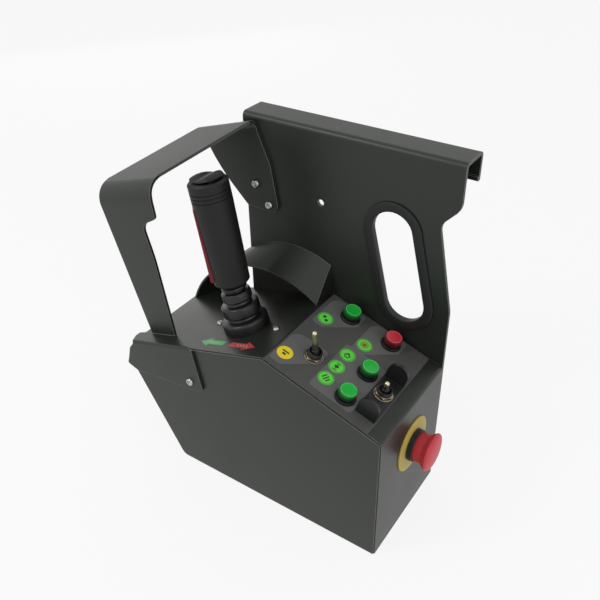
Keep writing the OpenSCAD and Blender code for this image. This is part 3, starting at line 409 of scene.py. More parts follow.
@dataclass(frozen=True)
class Moulded(Finish):
    """Moulded plastic or rubber with a fine spark-eroded grain."""

    grain: float = 0.5
    depth: float = 0.01

    def paint(self, tree: Tree) -> Dict[str, object]:
        """Lays out the shader.

        Args:
            tree: The material's tree.

        Returns:
            The values and links of the shader's sockets.
        """
        normal, edge = tree.round_edges(self.edge)
        cloud = tree.noise(size_mm=25.0)
        grain = tree.noise(self.grain)
        base = tree.mix(cloud, self.shade(0.88), self.shade(1.12))
        return {
            # Painted highlight: the edges are painted lighter.
            "Base Color": tree.mix(edge * 0.3, base, self.shade(1.6)),
            "Roughness": self.rough + 0.08 * (grain - 0.5) + 0.06 * (cloud - 0.5),
            "Normal": tree.bumped(grain, self.depth, normal),
        }


@dataclass(frozen=True)
class Plated(Finish):
    """Plated metal with fine lines from turning or brushing."""

    squeeze: Spot = (1.0, 1.0, 12.0)
    depth: float = 0.003

    def paint(self, tree: Tree) -> Dict[str, object]:
        """Lays out the shader.

        Args:
            tree: The material's tree.

        Returns:
            The values and links of the shader's sockets.
        """
        normal, edge = tree.round_edges(self.edge)
        lines = tree.noise(size_mm=0.8, detail=3.0, stretch=self.squeeze)
        cloud = tree.noise(size_mm=6.0)
        base = tree.mix(cloud, self.shade(0.85), self.shade(1.1))
        return {
            # Painted highlight: the edges are painted lighter.
            "Base Color": tree.mix(edge * 0.5, base, self.shade(1.3)),
            "Metallic": 1.0,
            "Roughness": self.rough + 0.12 * (lines - 0.5) + 0.08 * (cloud - 0.5),
            "Normal": tree.bumped(lines, self.depth, normal),
        }


@dataclass(frozen=True)
class Film(Finish):
    """Printed film: a flat ink with a faint dot screen and a satin skin."""

    depth: float = 0.004

    def paint(self, tree: Tree) -> Dict[str, object]:
        """Lays out the shader.

        Args:
            tree: The material's tree.

        Returns:
            The values and links of the shader's sockets.
        """
        dots = tree.noise(size_mm=0.25, detail=0.0)
        cloud = tree.noise(size_mm=18.0)
        base = tree.mix(cloud, self.shade(0.93), self.shade(1.07))
        return {
            "Base Color": tree.mix(dots.ramp(0.55, 0.75) * 0.35, base, self.shade(1.2)),
            "Roughness": self.rough + 0.1 * (cloud - 0.5),
            "Normal": tree.bumped(tree.noise(size_mm=1.5), self.depth),
        }


@dataclass(frozen=True)
class PaintedLightCap(Finish):
    """A clear coloured cap with painted light: painted shade at its foot, a face painted bright and a
    painted highlight ring.

    The heights low, high, face and crest are measured from the switch panel.
    """

    # The foot colour is painted shade at the cap's foot; rim is the colour of a painted highlight ring at
    # the crest.
    foot_shade: Colour = (0.0, 0.1, 0.0)
    rim: Colour = (0.3, 0.8, 0.4)
    low: float = 3.5
    high: float = 12.2
    face: float = 12.1
    face_band: float = 0.2
    crest: float = 12.46
    crest_band: float = 0.06

    def paint(self, tree: Tree) -> Dict[str, object]:
        """Lays out the shader.

        Args:
            tree: The material's tree.

        Returns:
            The values and links of the shader's sockets.
        """
        panel = Place.SWITCHES
        up = (panel.value.to_3x3() @ Vector((0, 0, 1))).normalized()
        height = tree.along(up, panel.point(0, 0, 0))
        grain = tree.noise(size_mm=2.5)
        # Painted shade and light: the colour runs from the dark foot colour low on the side to the full tint
        # on the face.
        share = (height + 1.5 * (grain - 0.5)).ramp(self.low, self.high)
        face = height.ramp(self.face - self.face_band, self.face)
        crest = height.ramp(self.crest - self.crest_band, self.crest)
        base = tree.mix(share * share * 0.3 + face * 0.7, self.foot_shade, self.tint)
        return {
            # Painted highlight: a thin ring at the crest in the rim colour.
            "Base Color": tree.mix(crest * 0.85, base, self.rim),
            "Roughness": self.rough + 0.06 * (grain - 0.5),
            "Coat Weight": 0.25,
            "Coat Roughness": 0.12,
            "Subsurface Weight": 0.15,
            "Subsurface Radius": (0.004, 0.004, 0.004),
            "Subsurface Scale": 0.5,
        }


@dataclass(frozen=True)
class Laminate(Finish):
    """A circuit board: lacquer over copper tracks and round pads."""

    solder: Colour = (0.75, 0.72, 0.6)
    tracks_per_metre: float = 90.0
    pads_per_metre: float = 260.0
    depth: float = 0.03

    def paint(self, tree: Tree) -> Dict[str, object]:
        """Lays out the shader.

        Args:
            tree: The material's tree.

        Returns:
            The values and links of the shader's sockets.
        """
        brick = tree.add(
            "ShaderNodeTexBrick",
            {"offset": 0.3},
            {
                "Vector": tree.where(), "Scale": self.tracks_per_metre, "Color1": WHITE, "Color2": WHITE,
                "Mortar": BLACK, "Mortar Size": 0.05, "Mortar Smooth": 0.1,
            },
        )
        grid = {"Vector": tree.where(), "Scale": self.pads_per_metre}
        spots = tree.add("ShaderNodeTexVoronoi", {"feature": "F1"}, grid)
        pad = 1 - Signal(tree, spots.outputs["Distance"]).ramp(0.16, 0.22)
        track = Signal(tree, brick.outputs["Fac"])
        base = tree.mix(track * 0.7, self.tint, self.shade(2.2))
        return {
            "Base Color": tree.mix(pad, base, self.solder),
            "Roughness": self.rough + 0.1 * pad,
            "Metallic": pad * 0.8,
            "Normal": tree.bumped(track.highest(pad), self.depth),
        }


class Finishes(Enum):
    """Every finish on the box."""

    COAT = PowderCoat("charcoal_coat", (0.0130, 0.0150, 0.0125), 0.40, edge=0.85)
    RUBBER = Moulded("edge_rubber", (0.009, 0.010, 0.010), 0.5, 0.5, 0.35, grain=0.8, depth=0.012)
    BOOT = Moulded("boot_rubber", (0.006, 0.006, 0.006), 0.36, 0.3, 0.45, grain=0.7)
    GRIP = Moulded("grip_plastic", (0.006, 0.007, 0.006), 0.5, 0.4, 0.3, grain=0.45, depth=0.014)
    BLACK = Moulded("grained_black", (0.008, 0.008, 0.009), 0.42, 0.3, 0.4, grain=0.4, depth=0.008)
    HORN = Moulded("horn_plastic", (0.008, 0.009, 0.009), 0.4, 0.5, 0.42, grain=1.2, depth=0.006)
    TRIGGER = Moulded("trigger_red", (0.21, 0.012, 0.024), 0.45, 0.4, 0.3, depth=0.006)
    HEAD = Moulded("mushroom_red", (0.62, 0.045, 0.065), 0.45, 0.4, 0.4, grain=0.6, depth=0.008)
    DISC = Moulded("disc_yellow", (0.52, 0.41, 0.085), 0.5, 0.3, 0.35, grain=0.9, depth=0.008)
    SLEEVE = Moulded("lever_sleeve", (0.008, 0.008, 0.008), 0.42, 0.3, 0.4, depth=0.008)
    TERMINAL = Moulded("terminal_plastic", (0.03, 0.25, 0.06), 0.45)
    STEEL = Plated("screw_steel", (0.46, 0.45, 0.42), 0.28, edge=0.15)
    NICKEL = Plated("nut_nickel", (0.24, 0.21, 0.16), 0.2, edge=0.25)
    LEVER = Plated("lever_plate", (0.62, 0.54, 0.36), 0.3, edge=0.15)
    LABEL = Film("film_dark", (0.074, 0.076, 0.072), 0.5, specular=0.35)
    FIELD = Film("film_pale", (0.125, 0.129, 0.123), 0.5, specular=0.35)
    YELLOW_INK = Film("ink_yellow", (0.88, 0.68, 0.03), 0.5, specular=0.3)
    GREEN_INK = Film("ink_green", (0.13, 0.74, 0.07), 0.5, specular=0.3)
    RIM_INK = Film("ink_rim", (0.035, 0.24, 0.03), 0.45)
    DARK_INK = Film("ink_dark", (0.015, 0.06, 0.012), 0.45)
    BROWN_INK = Film("ink_brown", (0.26, 0.06, 0.02), 0.45)
    PALE_INK = Film("ink_pale", (0.34, 0.42, 0.34), 0.45)
    ARROW_GREEN = Film("arrow_green", (0.06, 0.36, 0.09), 0.45)
    ARROW_RED = Film("arrow_red", (0.50, 0.05, 0.055), 0.45)
    # Both caps carry painted light: painted shade at the foot and a painted highlight ring.
    GREEN_CAP = PaintedLightCap(
        "cap_green", (0.010, 0.46, 0.045), 0.35, specular=0.3,
        foot_shade=(0.0, 0.020, 0.004), rim=(0.12, 0.70, 0.22),
    )
    RED_CAP = PaintedLightCap(
        "cap_red", (0.56, 0.014, 0.026), 0.35, specular=0.4,
        foot_shade=(0.03, 0.001, 0.002), rim=(0.8, 0.16, 0.16),
    )
    BOARD = Laminate("board_lacquer", (0.012, 0.10, 0.035), 0.35)

    @property
    def made(self) -> bpy.types.Material:
        """The material of this finish."""
        return self.value.material()


@dataclass(frozen=True)
class Ring:
    """One ring of a turned form: its radius, its height, and its width over flats if it is hexagonal."""

    r: float
    z: float
    flats: float = 0.0

    def radius(self, angle: float) -> float:
        """Works out the distance from the axis.

        Args:
            angle: The direction, in radians.

        Returns:
            The distance.
        """
        if not self.flats:
            return self.r
        side = math.pi / 3
        return min(self.r, self.flats / 2 / math.cos(angle % side - side / 2))


def flatted(flats: float, *points: Point) -> List[Ring]:
    """Returns hexagonal rings of one width over flats, cut off at their radii."""
    return [Ring(r, z, flats) for r, z in points]


def arc(x: float, y: float, r: float, start: float, sweep: float, steps: int = 28) -> List[Point]:
    """Draws an arc.

    Args:
        x: First coordinate of its middle.
        y: Second coordinate of its middle.
        r: Its radius.
        start: Its first angle, in radians.
        sweep: The angle that it covers, in radians.
        steps: Straight pieces in it.

    Returns:
        Its points.
    """
    angles = [start + sweep * k / steps for k in range(steps + 1)]
    return [(x + r * math.cos(a), y + r * math.sin(a)) for a in angles]


def soften(outline: Sequence[Point], radii: Sequence[float], steps: int) -> List[Point]:
    """Rounds the corners of an outline.

    Args:
        outline: Its points.
        radii: The radius at each point; 0 keeps it sharp, as the ends of an open outline must be.
        steps: Straight pieces in each arc.

    Returns:
        The points of the rounded outline.
    """
    made: List[Point] = []
    for i, radius in enumerate(radii):
        here = Vector(outline[i])
        if radius <= 0:
            made.append(tuple(here))
            continue
        u = (Vector(outline[i - 1]) - here).normalized()
        v = (Vector(outline[(i + 1) % len(outline)]) - here).normalized()
        half = u.angle(v) / 2
        middle = here + (u + v).normalized() * radius / math.sin(half)
        start = here + u * radius / math.tan(half) - middle
        end = here + v * radius / math.tan(half) - middle
        wide = math.pi - 2 * half
        for k in range(steps + 1):
            t = k / steps
            near, far = math.sin(wide * (1 - t)), math.sin(wide * t)
            made.append(tuple(middle + (start * near + end * far) / math.sin(wide)))
    return made


def settle(form: bmesh.types.BMesh, mesh: bpy.types.Mesh, at: Matrix, crease: float) -> bpy.types.Mesh:
    """Closes a form and finishes its mesh.

    Args:
        form: The form, in millimetres, which is used up.
        mesh: The mesh that receives it.
        at: The frame that it is moved into.
        crease: Angle in degrees over which an edge stays sharp in the shading.

    Returns:
        The mesh.
    """
    bmesh.ops.remove_doubles(form, verts=form.verts, dist=WELD)
    bmesh.ops.recalc_face_normals(form, faces=form.faces)
    form.to_mesh(mesh)
    form.free()
    mesh.transform(at)
    mesh.shade_smooth()
    mesh.set_sharp_from_angle(angle=math.radians(crease))
    return mesh


class Form:
    """A mesh under construction, in millimetres of a work frame."""

    def __init__(self) -> None:
        """Starts an empty mesh."""
        self.mesh = bmesh.new()

    def row(self, points: Iterable[Sequence[float]], at: Matrix = Matrix()) -> List[bmesh.types.BMVert]:
        """Returns new corners at these points of a frame."""
        return [self.mesh.verts.new(at @ Vector(point)) for point in points]

    def face(self, corners: Sequence[bmesh.types.BMVert], slot: int = 0) -> None:
        """Adds a face of the corners that differ, if there are three or more.

        Args:
            corners: Its corners in order.
            slot: Its material slot.
        """
        unique = list(dict.fromkeys(corners))
        if len(unique) > 2:
            self.mesh.faces.new(unique).material_index = slot

    def loft(self, rows: List[List[bmesh.types.BMVert]], slot: int = 0, loop: bool = False) -> "Form":
        """Joins each row of corners to the next with a band of faces.

        Args:
            rows: Closed rows of equal length; a row of one corner is a pole.
            slot: Their material slot.
            loop: Whether the last row joins the first, as on a tube.

        Returns:
            This form.
        """
        steps = max(len(row) for row in rows)
        for low, high in zip(rows, rows[1:] + (rows[:1] if loop else [])):
            for k in range(steps):
                n = k + 1
                corners = (low[k % len(low)], low[n % len(low)], high[n % len(high)], high[k % len(high)])
                self.face(corners, slot)
        return self

    def turned(
        self, rings: Iterable[Union[Ring, Point]], at: Matrix = Matrix(), steps: int = 64, slot: int = 0,
        loop: bool = False,
    ) -> "Form":
        """Turns an outline about the z axis.

        Args:
            rings: The outline, from one end to the other; a plain pair is a round ring.
            at: Where the form stands.
            steps: Faces round it.
            slot: Its material slot.
            loop: Whether the last ring joins the first, as on a tube.

        Returns:
            This form.
        """
        rows = []
        for ring in (r if isinstance(r, Ring) else Ring(*r) for r in rings):
            count = steps if ring.r > ON_AXIS else 1
            angles = [2 * math.pi * k / steps for k in range(count)]
            reach = [(ring.radius(a), a) for a in angles]
            rows.append(self.row([(r * math.cos(a), r * math.sin(a), ring.z) for r, a in reach], at))
        return self.loft(rows, slot, loop)

    def prism(
        self, outline: Sequence[Point], low: float, high: float, at: Matrix = Matrix(),
        edge: float = 0.0, segments: int = 2,
    ) -> "Form":
        """Gives a flat outline thickness.

        Args:
            outline: Its points in x and y.
            low: Height of the lower face.
            high: Height of the upper face.
            at: Where the form stands.
            edge: Radius of its rounded edges.
            segments: Faces across a rounded edge.

        Returns:
            This form.
        """
        rows = [self.row([(x, y, z) for x, y in outline], at) for z in (low, high)]
        before = set(self.mesh.faces)
        self.face(rows[0][::-1])
        self.face(rows[1])
        self.loft(rows)
        if edge:
            caps = [f for f in self.mesh.faces if f not in before and len(f.verts) == len(outline)]
            edges = list(dict.fromkeys(e for f in caps for e in f.edges))
            bmesh.ops.bevel(
                self.mesh, geom=edges, offset=edge, segments=segments, profile=0.5, affect="EDGES",
                clamp_overlap=True,
            )
        return self

    def data(self, name: str, at: Matrix = Matrix(), crease: float = CREASE) -> bpy.types.Mesh:
        """Returns the finished mesh, moved into a frame; the form is used up."""
        return settle(self.mesh, bpy.data.meshes.new(name), at, crease)


def stand(mesh: bpy.types.Mesh, finishes: Sequence[Finishes] = ()) -> bpy.types.Object:
    """Makes an object of a mesh in the scene.

    Args:
        mesh: The mesh, whose name it takes.
        finishes: Its materials, in the order of its slots; none keeps those that it has.

    Returns:
        The object.
    """
    for finish in finishes:
        mesh.materials.append(finish.made)
    made = bpy.data.objects.new(mesh.name, mesh)
    bpy.context.scene.collection.objects.link(made)
    return made


def hand_over(
    mesh: bpy.types.Mesh, finishes: Sequence[Finishes], node: str = "", body: str = "box"
) -> None:
    """Makes a piece of the object out of a finished mesh.

    Args:
        mesh: Its mesh, in the row frame; its name is the piece's name.
        finishes: Its materials, in the order of its slots; none keeps those that it has.
        node: The CAD node that it stands for, if any.
        body: The CAD body that it moves with.
    """
    made = stand(mesh, finishes)
    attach(made, body)
    if node:
        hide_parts(node)
    LOG.info("%s: %d faces on %s", made.name, len(mesh.polygons), body)


def dress(finish: Finishes, *nodes: str) -> None:
    """Gives CAD nodes their finish.

    Args:
        finish: The finish.
        nodes: The names of the nodes.
    """
    for node in nodes:
        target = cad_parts[node]
        if target.material_slots:
            for slot in target.material_slots:
                slot.material = finish.made
        else:
            target.data.materials.append(finish.made)
        LOG.info("%s: dressed in %s", node, finish.value.name)


class Input(Enum):
    """Kinds of the named inputs of a pattern."""

    NUMBER = "NodeSocketFloat"
    PIECE = "NodeSocketObject"


class Pattern:
    """A Geometry Nodes tree with named inputs, which makes one piece from a few points."""

    def __init__(self, name: str, inputs: Mapping[str, Input]) -> None:
        """Starts the tree.

        Args:
            name: The tree's name.
            inputs: The kind of each named input besides the geometry and the material.
        """
        self.group = bpy.data.node_groups.new(name, "GeometryNodeTree")
        sockets = {"Geometry": "NodeSocketGeometry", "Material": "NodeSocketMaterial"}
        sockets.update({label: kind.value for label, kind in inputs.items()})
        for label, kind in sockets.items():
            self.group.interface.new_socket(label, in_out="INPUT", socket_type=kind)
        self.group.interface.new_socket("Geometry", in_out="OUTPUT", socket_type="NodeSocketGeometry")
        self.tree = Tree(self.group)
        self.given = self.tree.add("NodeGroupInput").outputs

    def on_points(self, values: Mapping[str, object]) -> "Pattern":
        """Ends the tree: puts a copy on every point and turns the result into plain, painted geometry.

        Args:
            values: What goes into the sockets of Instance on Points, besides the points.

        Returns:
            This pattern.
        """
        points = {"Points": self.given["Geometry"], **values}
        copies = self.tree.add("GeometryNodeInstanceOnPoints", None, points)
        real = self.tree.add("GeometryNodeRealizeInstances", None, {"Geometry": copies.outputs[0]})
        paint = {"Geometry": real.outputs[0], "Material": self.given["Material"]}
        painted = self.tree.add("GeometryNodeSetMaterial", None, paint)
        self.tree.add("NodeGroupOutput", None, {"Geometry": painted.outputs[0]})
        return self

    def grow(
        self, name: str, base: bpy.types.Mesh, finish: Finishes, values: Mapping[str, object], at: Matrix
    ) -> bpy.types.Mesh:
        """Runs the tree and keeps its result as a plain mesh.

        Args:
            name: Name of the mesh.
            base: The points that the tree works on.
            finish: Its material.
            values: What goes into the named inputs.
            at: The frame that the result is moved into.

        Returns:
            The mesh.
        """
        carrier = stand(base)
        modifier = carrier.modifiers.new("pattern", "NODES")
        modifier.node_group = self.group
        filled = {"Material": finish.made, **values}
        for item in self.group.interface.items_tree:
            if item.in_out == "INPUT" and item.name in filled:
                modifier[item.identifier] = filled[item.name]
        bpy.context.view_layer.update()
        evaluated = carrier.evaluated_get(bpy.context.evaluated_depsgraph_get())
        made = bpy.data.meshes.new_from_object(evaluated)
        carrier.modifiers.remove(modifier)
        helpers = [thing for thing in values.values() if isinstance(thing, bpy.types.Object)]
        for helper in (carrier, *helpers):
            bpy.data.objects.remove(helper)
        made.name = name
        clean = bmesh.new()
        clean.from_mesh(made)
        return settle(clean, made, at, CREASE)


def places(points: Sequence[Spot], spins: Sequence[float] = ()) -> bpy.types.Mesh:
    """Makes a mesh of loose points.

    Args:
        points: The points.
        spins: The angle in degrees by which a copy on each point is turned; none turns no copy.

    Returns:
        The mesh.
    """
    made = bpy.data.meshes.new("places")
    made.from_pydata([tuple(p) for p in points], [], [])
    spin = made.attributes.new("spin", "FLOAT", "POINT")
    for i, item in enumerate(spin.data):
        item.value = math.radians(spins[i]) if spins else 0.0
    return made


class Patterns:
    """The Geometry Nodes trees that the sub-assemblies share."""

    def __init__(self) -> None:
        """Builds the trees."""
        self.set_out = self._set_out()
        self.wound = self._wound()

    @staticmethod
    def _set_out() -> Pattern:
        """Builds a tree that puts a copy of one piece on every point, turned by the point's spin.

        Returns:
            The pattern.
        """
        made = Pattern("set_out", {"Piece": Input.PIECE})
        info = made.tree.add("GeometryNodeObjectInfo", None, {"Object": made.given["Piece"]})
        spin = made.tree.add("GeometryNodeInputNamedAttribute", {"data_type": "FLOAT"}, {"Name": "spin"})
        euler = made.tree.add("ShaderNodeCombineXYZ", None, {"Z": spin.outputs[0]})
        return made.on_points({"Instance": info.outputs["Geometry"], "Rotation": euler.outputs[0]})

    @staticmethod
    def _wound() -> Pattern:
        """Builds a tree that winds a wire into a coil on every point.

        Returns:
            The pattern.
        """
        made = Pattern("wound", dict.fromkeys(("Turns", "Radius", "Wire", "Length"), Input.NUMBER))
        coil = made.tree.add(
            "GeometryNodeCurveSpiral",
            None,
            {
                "Resolution": 24, "Rotations": made.given["Turns"], "Start Radius": made.given["Radius"],
                "End Radius": made.given["Radius"], "Height": made.given["Length"],
            },
        )
        wire = made.tree.add(
            "GeometryNodeCurvePrimitiveCircle", None, {"Resolution": 12, "Radius": made.given["Wire"]}
        )
        tube = made.tree.add(
            "GeometryNodeCurveToMesh",
            None,
            {"Curve": coil.outputs[0], "Profile Curve": wire.outputs[0], "Fill Caps": True},
        )
        return made.on_points({"Instance": tube.outputs[0]})

    def repeat(
        self, name: str, form: Form, points: Sequence[Spot], at: Matrix, finish: Finishes, slot: str,
        node: str = "", spins: Sequence[float] = (),
    ) -> None:
        """Sets out copies of a form as one piece that moves with the box.

        Args:
            name: The piece's name.
            form: The form that is copied, which is used up.
            points: Where the copies stand.
            at: The frame of the points.
            finish: The piece's material.
            slot: Not used.
            node: The CAD node that the piece stands for, if any.
            spins: The angle in degrees by which each copy is turned.
        """
        piece = stand(form.data("template"))
        mesh = self.set_out.grow(name, places(points, spins), finish, {"Piece": piece}, at)
        hand_over(mesh, (), node)


@dataclass(frozen=True)
class SocketScrew:
    """A screw with a hexagon socket; z points out of its head, whose seat or rim is at 0."""

    flats: float
    floor: float
    mouth: float
    outline: Tuple[Point, ...]

    def rings(self) -> List[Ring]:
        """Returns its rings, from the middle of the socket's floor to the middle of the tip."""
        socket = flatted(self.flats, (self.flats, self.floor), (self.flats, self.mouth))
        return [Ring(0, self.floor), *socket, *(Ring(r, z) for r, z in self.outline)]


class Screws(Enum):
    """The screws with a socket, each with the outline of its head and shank."""

    CAP = SocketScrew(4.6, 1.2, 2.66, (
        (2.85, 2.8), (3.3, 2.74), (3.9, 2.3), (4.3, 1.5), (4.5, 0.4), (4.4, 0), (2.5, 0), (2.5, -12.4),
        (2.1, -13.0), (0, -13.0),
    ))
    COUNTERSUNK = SocketScrew(2.4, -1.0, -0.02, (
        (1.9, 0), (3.7, 0), (3.8, -0.08), (2.0, -1.6), (2.0, -5.6), (1.6, -6.0), (0, -6.0),
    ))
    BUTTON = SocketScrew(2.5, 0.9, 2.12, (
        (2.0, 2.2), (2.7, 2.0), (3.3, 1.5), (3.7, 0.8), (3.8, 0.0), (2.0, 0.0), (2.0, -5.0), (0, -5.0),
    ))


@dataclass
class Housing:
    """The folded sheets, the screws that hold them, and the rubber edging of the hand slot."""

    patterns: Patterns
    sheets: Tuple[str, ...] = (
        "front_plate", "wrap_shell", "bottom_pan", "back_plate", "arch_hood", "guard_strap",
    )
    plate_screws: Tuple[Point, ...] = ((30.2, 307.4), (46.4, 286.6))
    foot_screw: Point = (29.2, 129.5)
    strap_t: float = 3.0
    sheet_t: float = 2.0
    nut_flats: float = 8.0
    nut_h: float = 4.0
    pan_inset: float = 10.0
    pan_wall: Point = (-57.0, 113.0)
    slot_top: Point = (190.0, 296.5)
    slot_low: Point = (208.0, 221.5)
    slot_r: float = 21.5
    trim_w: float = 10.0
    trim_t: float = 2.2

    def build(self) -> None:
        """Dresses the sheets and makes the small pieces."""
        dress(Finishes.COAT, *self.sheets)
        self.edging()
        self.socket_screws()
        self.pan_screws()
        self.nuts()

    def edging(self) -> None:
        """Draws the rubber channel round the hand slot, with its ends butted together."""
        lip, wall, inner = self.trim_w, self.trim_t, BOX.plate_t / 2
        outer = inner + wall
        section = [
            (0, -outer), (lip, -outer), (lip, -outer + wall), (wall, -inner), (wall, inner),
            (lip, outer - wall), (lip, outer), (0, outer),
        ]
        outline = soften(section, [0.9, 1.0, 0.5, 0.0, 0.0, 0.5, 1.0, 0.9], steps=3)
        low, high = Vector(self.slot_low), Vector(self.slot_top)
        tilt = math.atan2(high.y - low.y, high.x - low.x)
        points = arc(high.x, high.y, self.slot_r, tilt - math.pi / 2, math.pi)
        points += arc(low.x, low.y, self.slot_r, tilt + math.pi / 2, math.pi)
        form = Form()
        rows = []
        depth = BOX.box_d + inner
        for k, (x, z) in enumerate(points):
            before, after = Vector(points[k - 1]), Vector(points[(k + 1) % len(points)])
            run = (after - before).normalized()
            rows.append(form.row([(x + run.y * u, depth + v, z - run.x * u) for u, v in outline]))
        form.loft(rows, loop=True)
        mesh = form.data("slot_edging", Place.CORNER.value, crease=40)
        hand_over(mesh, [Finishes.RUBBER], "handle_trim")

    def socket_screws(self) -> None:
        """Sets out the three cap screws of the strap guard."""
        points = [(x, z, -BOX.box_d + self.strap_t) for x, z in self.plate_screws]
        points.append((*self.foot_screw, self.strap_t))
        self.patterns.repeat(
            "guard_cap_screws", Form().turned(Screws.CAP.value.rings(), steps=48), points,
            Place.CORNER.value @ turn(90, "X"), Finishes.STEEL, "steel", "guard_screws",
        )

    def nuts(self) -> None:
        """Sets out the nuts of the strap guard."""
        top, bore = self.nut_h, 2.52
        sides = ((4.0, top), (4.3, 3.8), (4.62, 3.4), (4.62, 0.3), (4.2, 0.0))
        rings = [Ring(bore, top), Ring(3.5, top), *flatted(self.nut_flats, *sides), Ring(bore, 0.0)]
        points = [(x, -z, BOX.box_d + BOX.plate_t) for x, z in self.plate_screws]
        points.append((self.foot_screw[0], -self.foot_screw[1], self.sheet_t))
        self.patterns.repeat(
            "guard_hex_nuts", Form().turned(rings, steps=48, loop=True), points,
            Place.CORNER.value @ turn(-90, "X"), Finishes.STEEL, "steel", "guard_nuts", (10, 40, 75),
        )

    def pan_screws(self) -> None:
        """Sets out the countersunk screws of the pan, two below and two in the left side."""
        rings = Screws.COUNTERSUNK.value.rings()
        form = Form()
        for y in (BOX.box_d / 4, BOX.box_d * 3 / 4):
            form.turned(rings, shift(BOX.base_w - self.pan_inset, y, 0) @ turn(180, "X"), steps=48)
            form.turned(rings, shift(self.pan_wall[0], y, self.pan_wall[1]) @ turn(-90, "Y"), steps=48)
        mesh = form.data("pan_countersunk_screws", Place.CORNER.value)
        hand_over(mesh, [Finishes.STEEL], "pan_screws")


@dataclass(frozen=True)
class ThumbPad:
    """The thumb rocker: a wavy oval pad with a stem that straddles its pin, in the grip's frame."""

    long: float = 16.4
    wide: float = 14.6
    low: float = 113.1
    rise: float = 1.5
    rim: float = 0.9
    oval: float = 2.6
    crown_bend: float = 5
    ridge: Tuple[Point, ...] = (
        (-16.4, 115.0), (-13.6, 115.9), (-10.6, 115.7), (-7.6, 115.0), (-4.8, 114.7), (-2.0, 115.2),
        (1.4, 116.5), (5.0, 118.1), (8.6, 119.2), (11.6, 119.3), (14.2, 118.6), (16.4, 117.0),
    )
    stem: Tuple[Point, ...] = (
        (-12.2, 108.2), (-1.8, 108.2), (-1.8, 110.6), (-1.1, 111.2), (1.1, 111.2), (1.8, 110.6),
        (1.8, 108.2), (12.2, 108.2), (12.2, 114.2), (-12.2, 114.2),
    )
    stem_half: float = 8.6
    stem_edge: float = 0.3

    def ridge_height(self, x: float) -> float:
        """Works out the height of the pad's ridge.

        Args:
            x: The place along the pad.

        Returns:
            The height.
        """
        for (x0, z0), (x1, z1) in zip(self.ridge, self.ridge[1:]):
            if x <= x1:
                t = (x - x0) / (x1 - x0)
                return z0 + (z1 - z0) * t * t * (3 - 2 * t)
        return self.ridge[-1][1]

    def corner(self, angle: float, share: float, upper: bool) -> Spot:
        """Works out one corner of the pad.

        Args:
            angle: Its direction from the middle, in radians.
            share: How far out it lies, from 0 in the middle to 1 on the rim.
            upper: Whether it is on the upper face.

        Returns:
            The corner.
        """
        c, d = math.cos(angle), math.sin(angle)
        reach = (abs(c) ** self.oval + abs(d) ** self.oval) ** (-1 / self.oval)
        x, y = self.long * reach * c * share, self.wide * reach * d * share
        under = self.low + self.rise * abs(x) / self.long
        if not upper:
            return (x, y, under)
        swell = self.ridge_height(x) - under - self.rim
        return (x, y, under + self.rim + swell * (1 - share ** self.crown_bend) ** 0.5)

    def form(self) -> Form:
        """Builds the pad and its stem.

        Returns:
            The form.
        """
        rings, steps = 14, 64
        made = Form()
        levels = [(k / rings, True) for k in range(rings + 1)]
        levels += [(1 - k / rings, False) for k in range(1, rings + 1)]
        rows = []
        for share, upper in levels:
            angles = [2 * math.pi * n / steps for n in range(steps if share > 0 else 1)]
            rows.append(made.row([self.corner(angle, share, upper) for angle in angles]))
        made.loft(rows)
        return made.prism(self.stem, -self.stem_half, self.stem_half, turn(90, "X"), self.stem_edge)


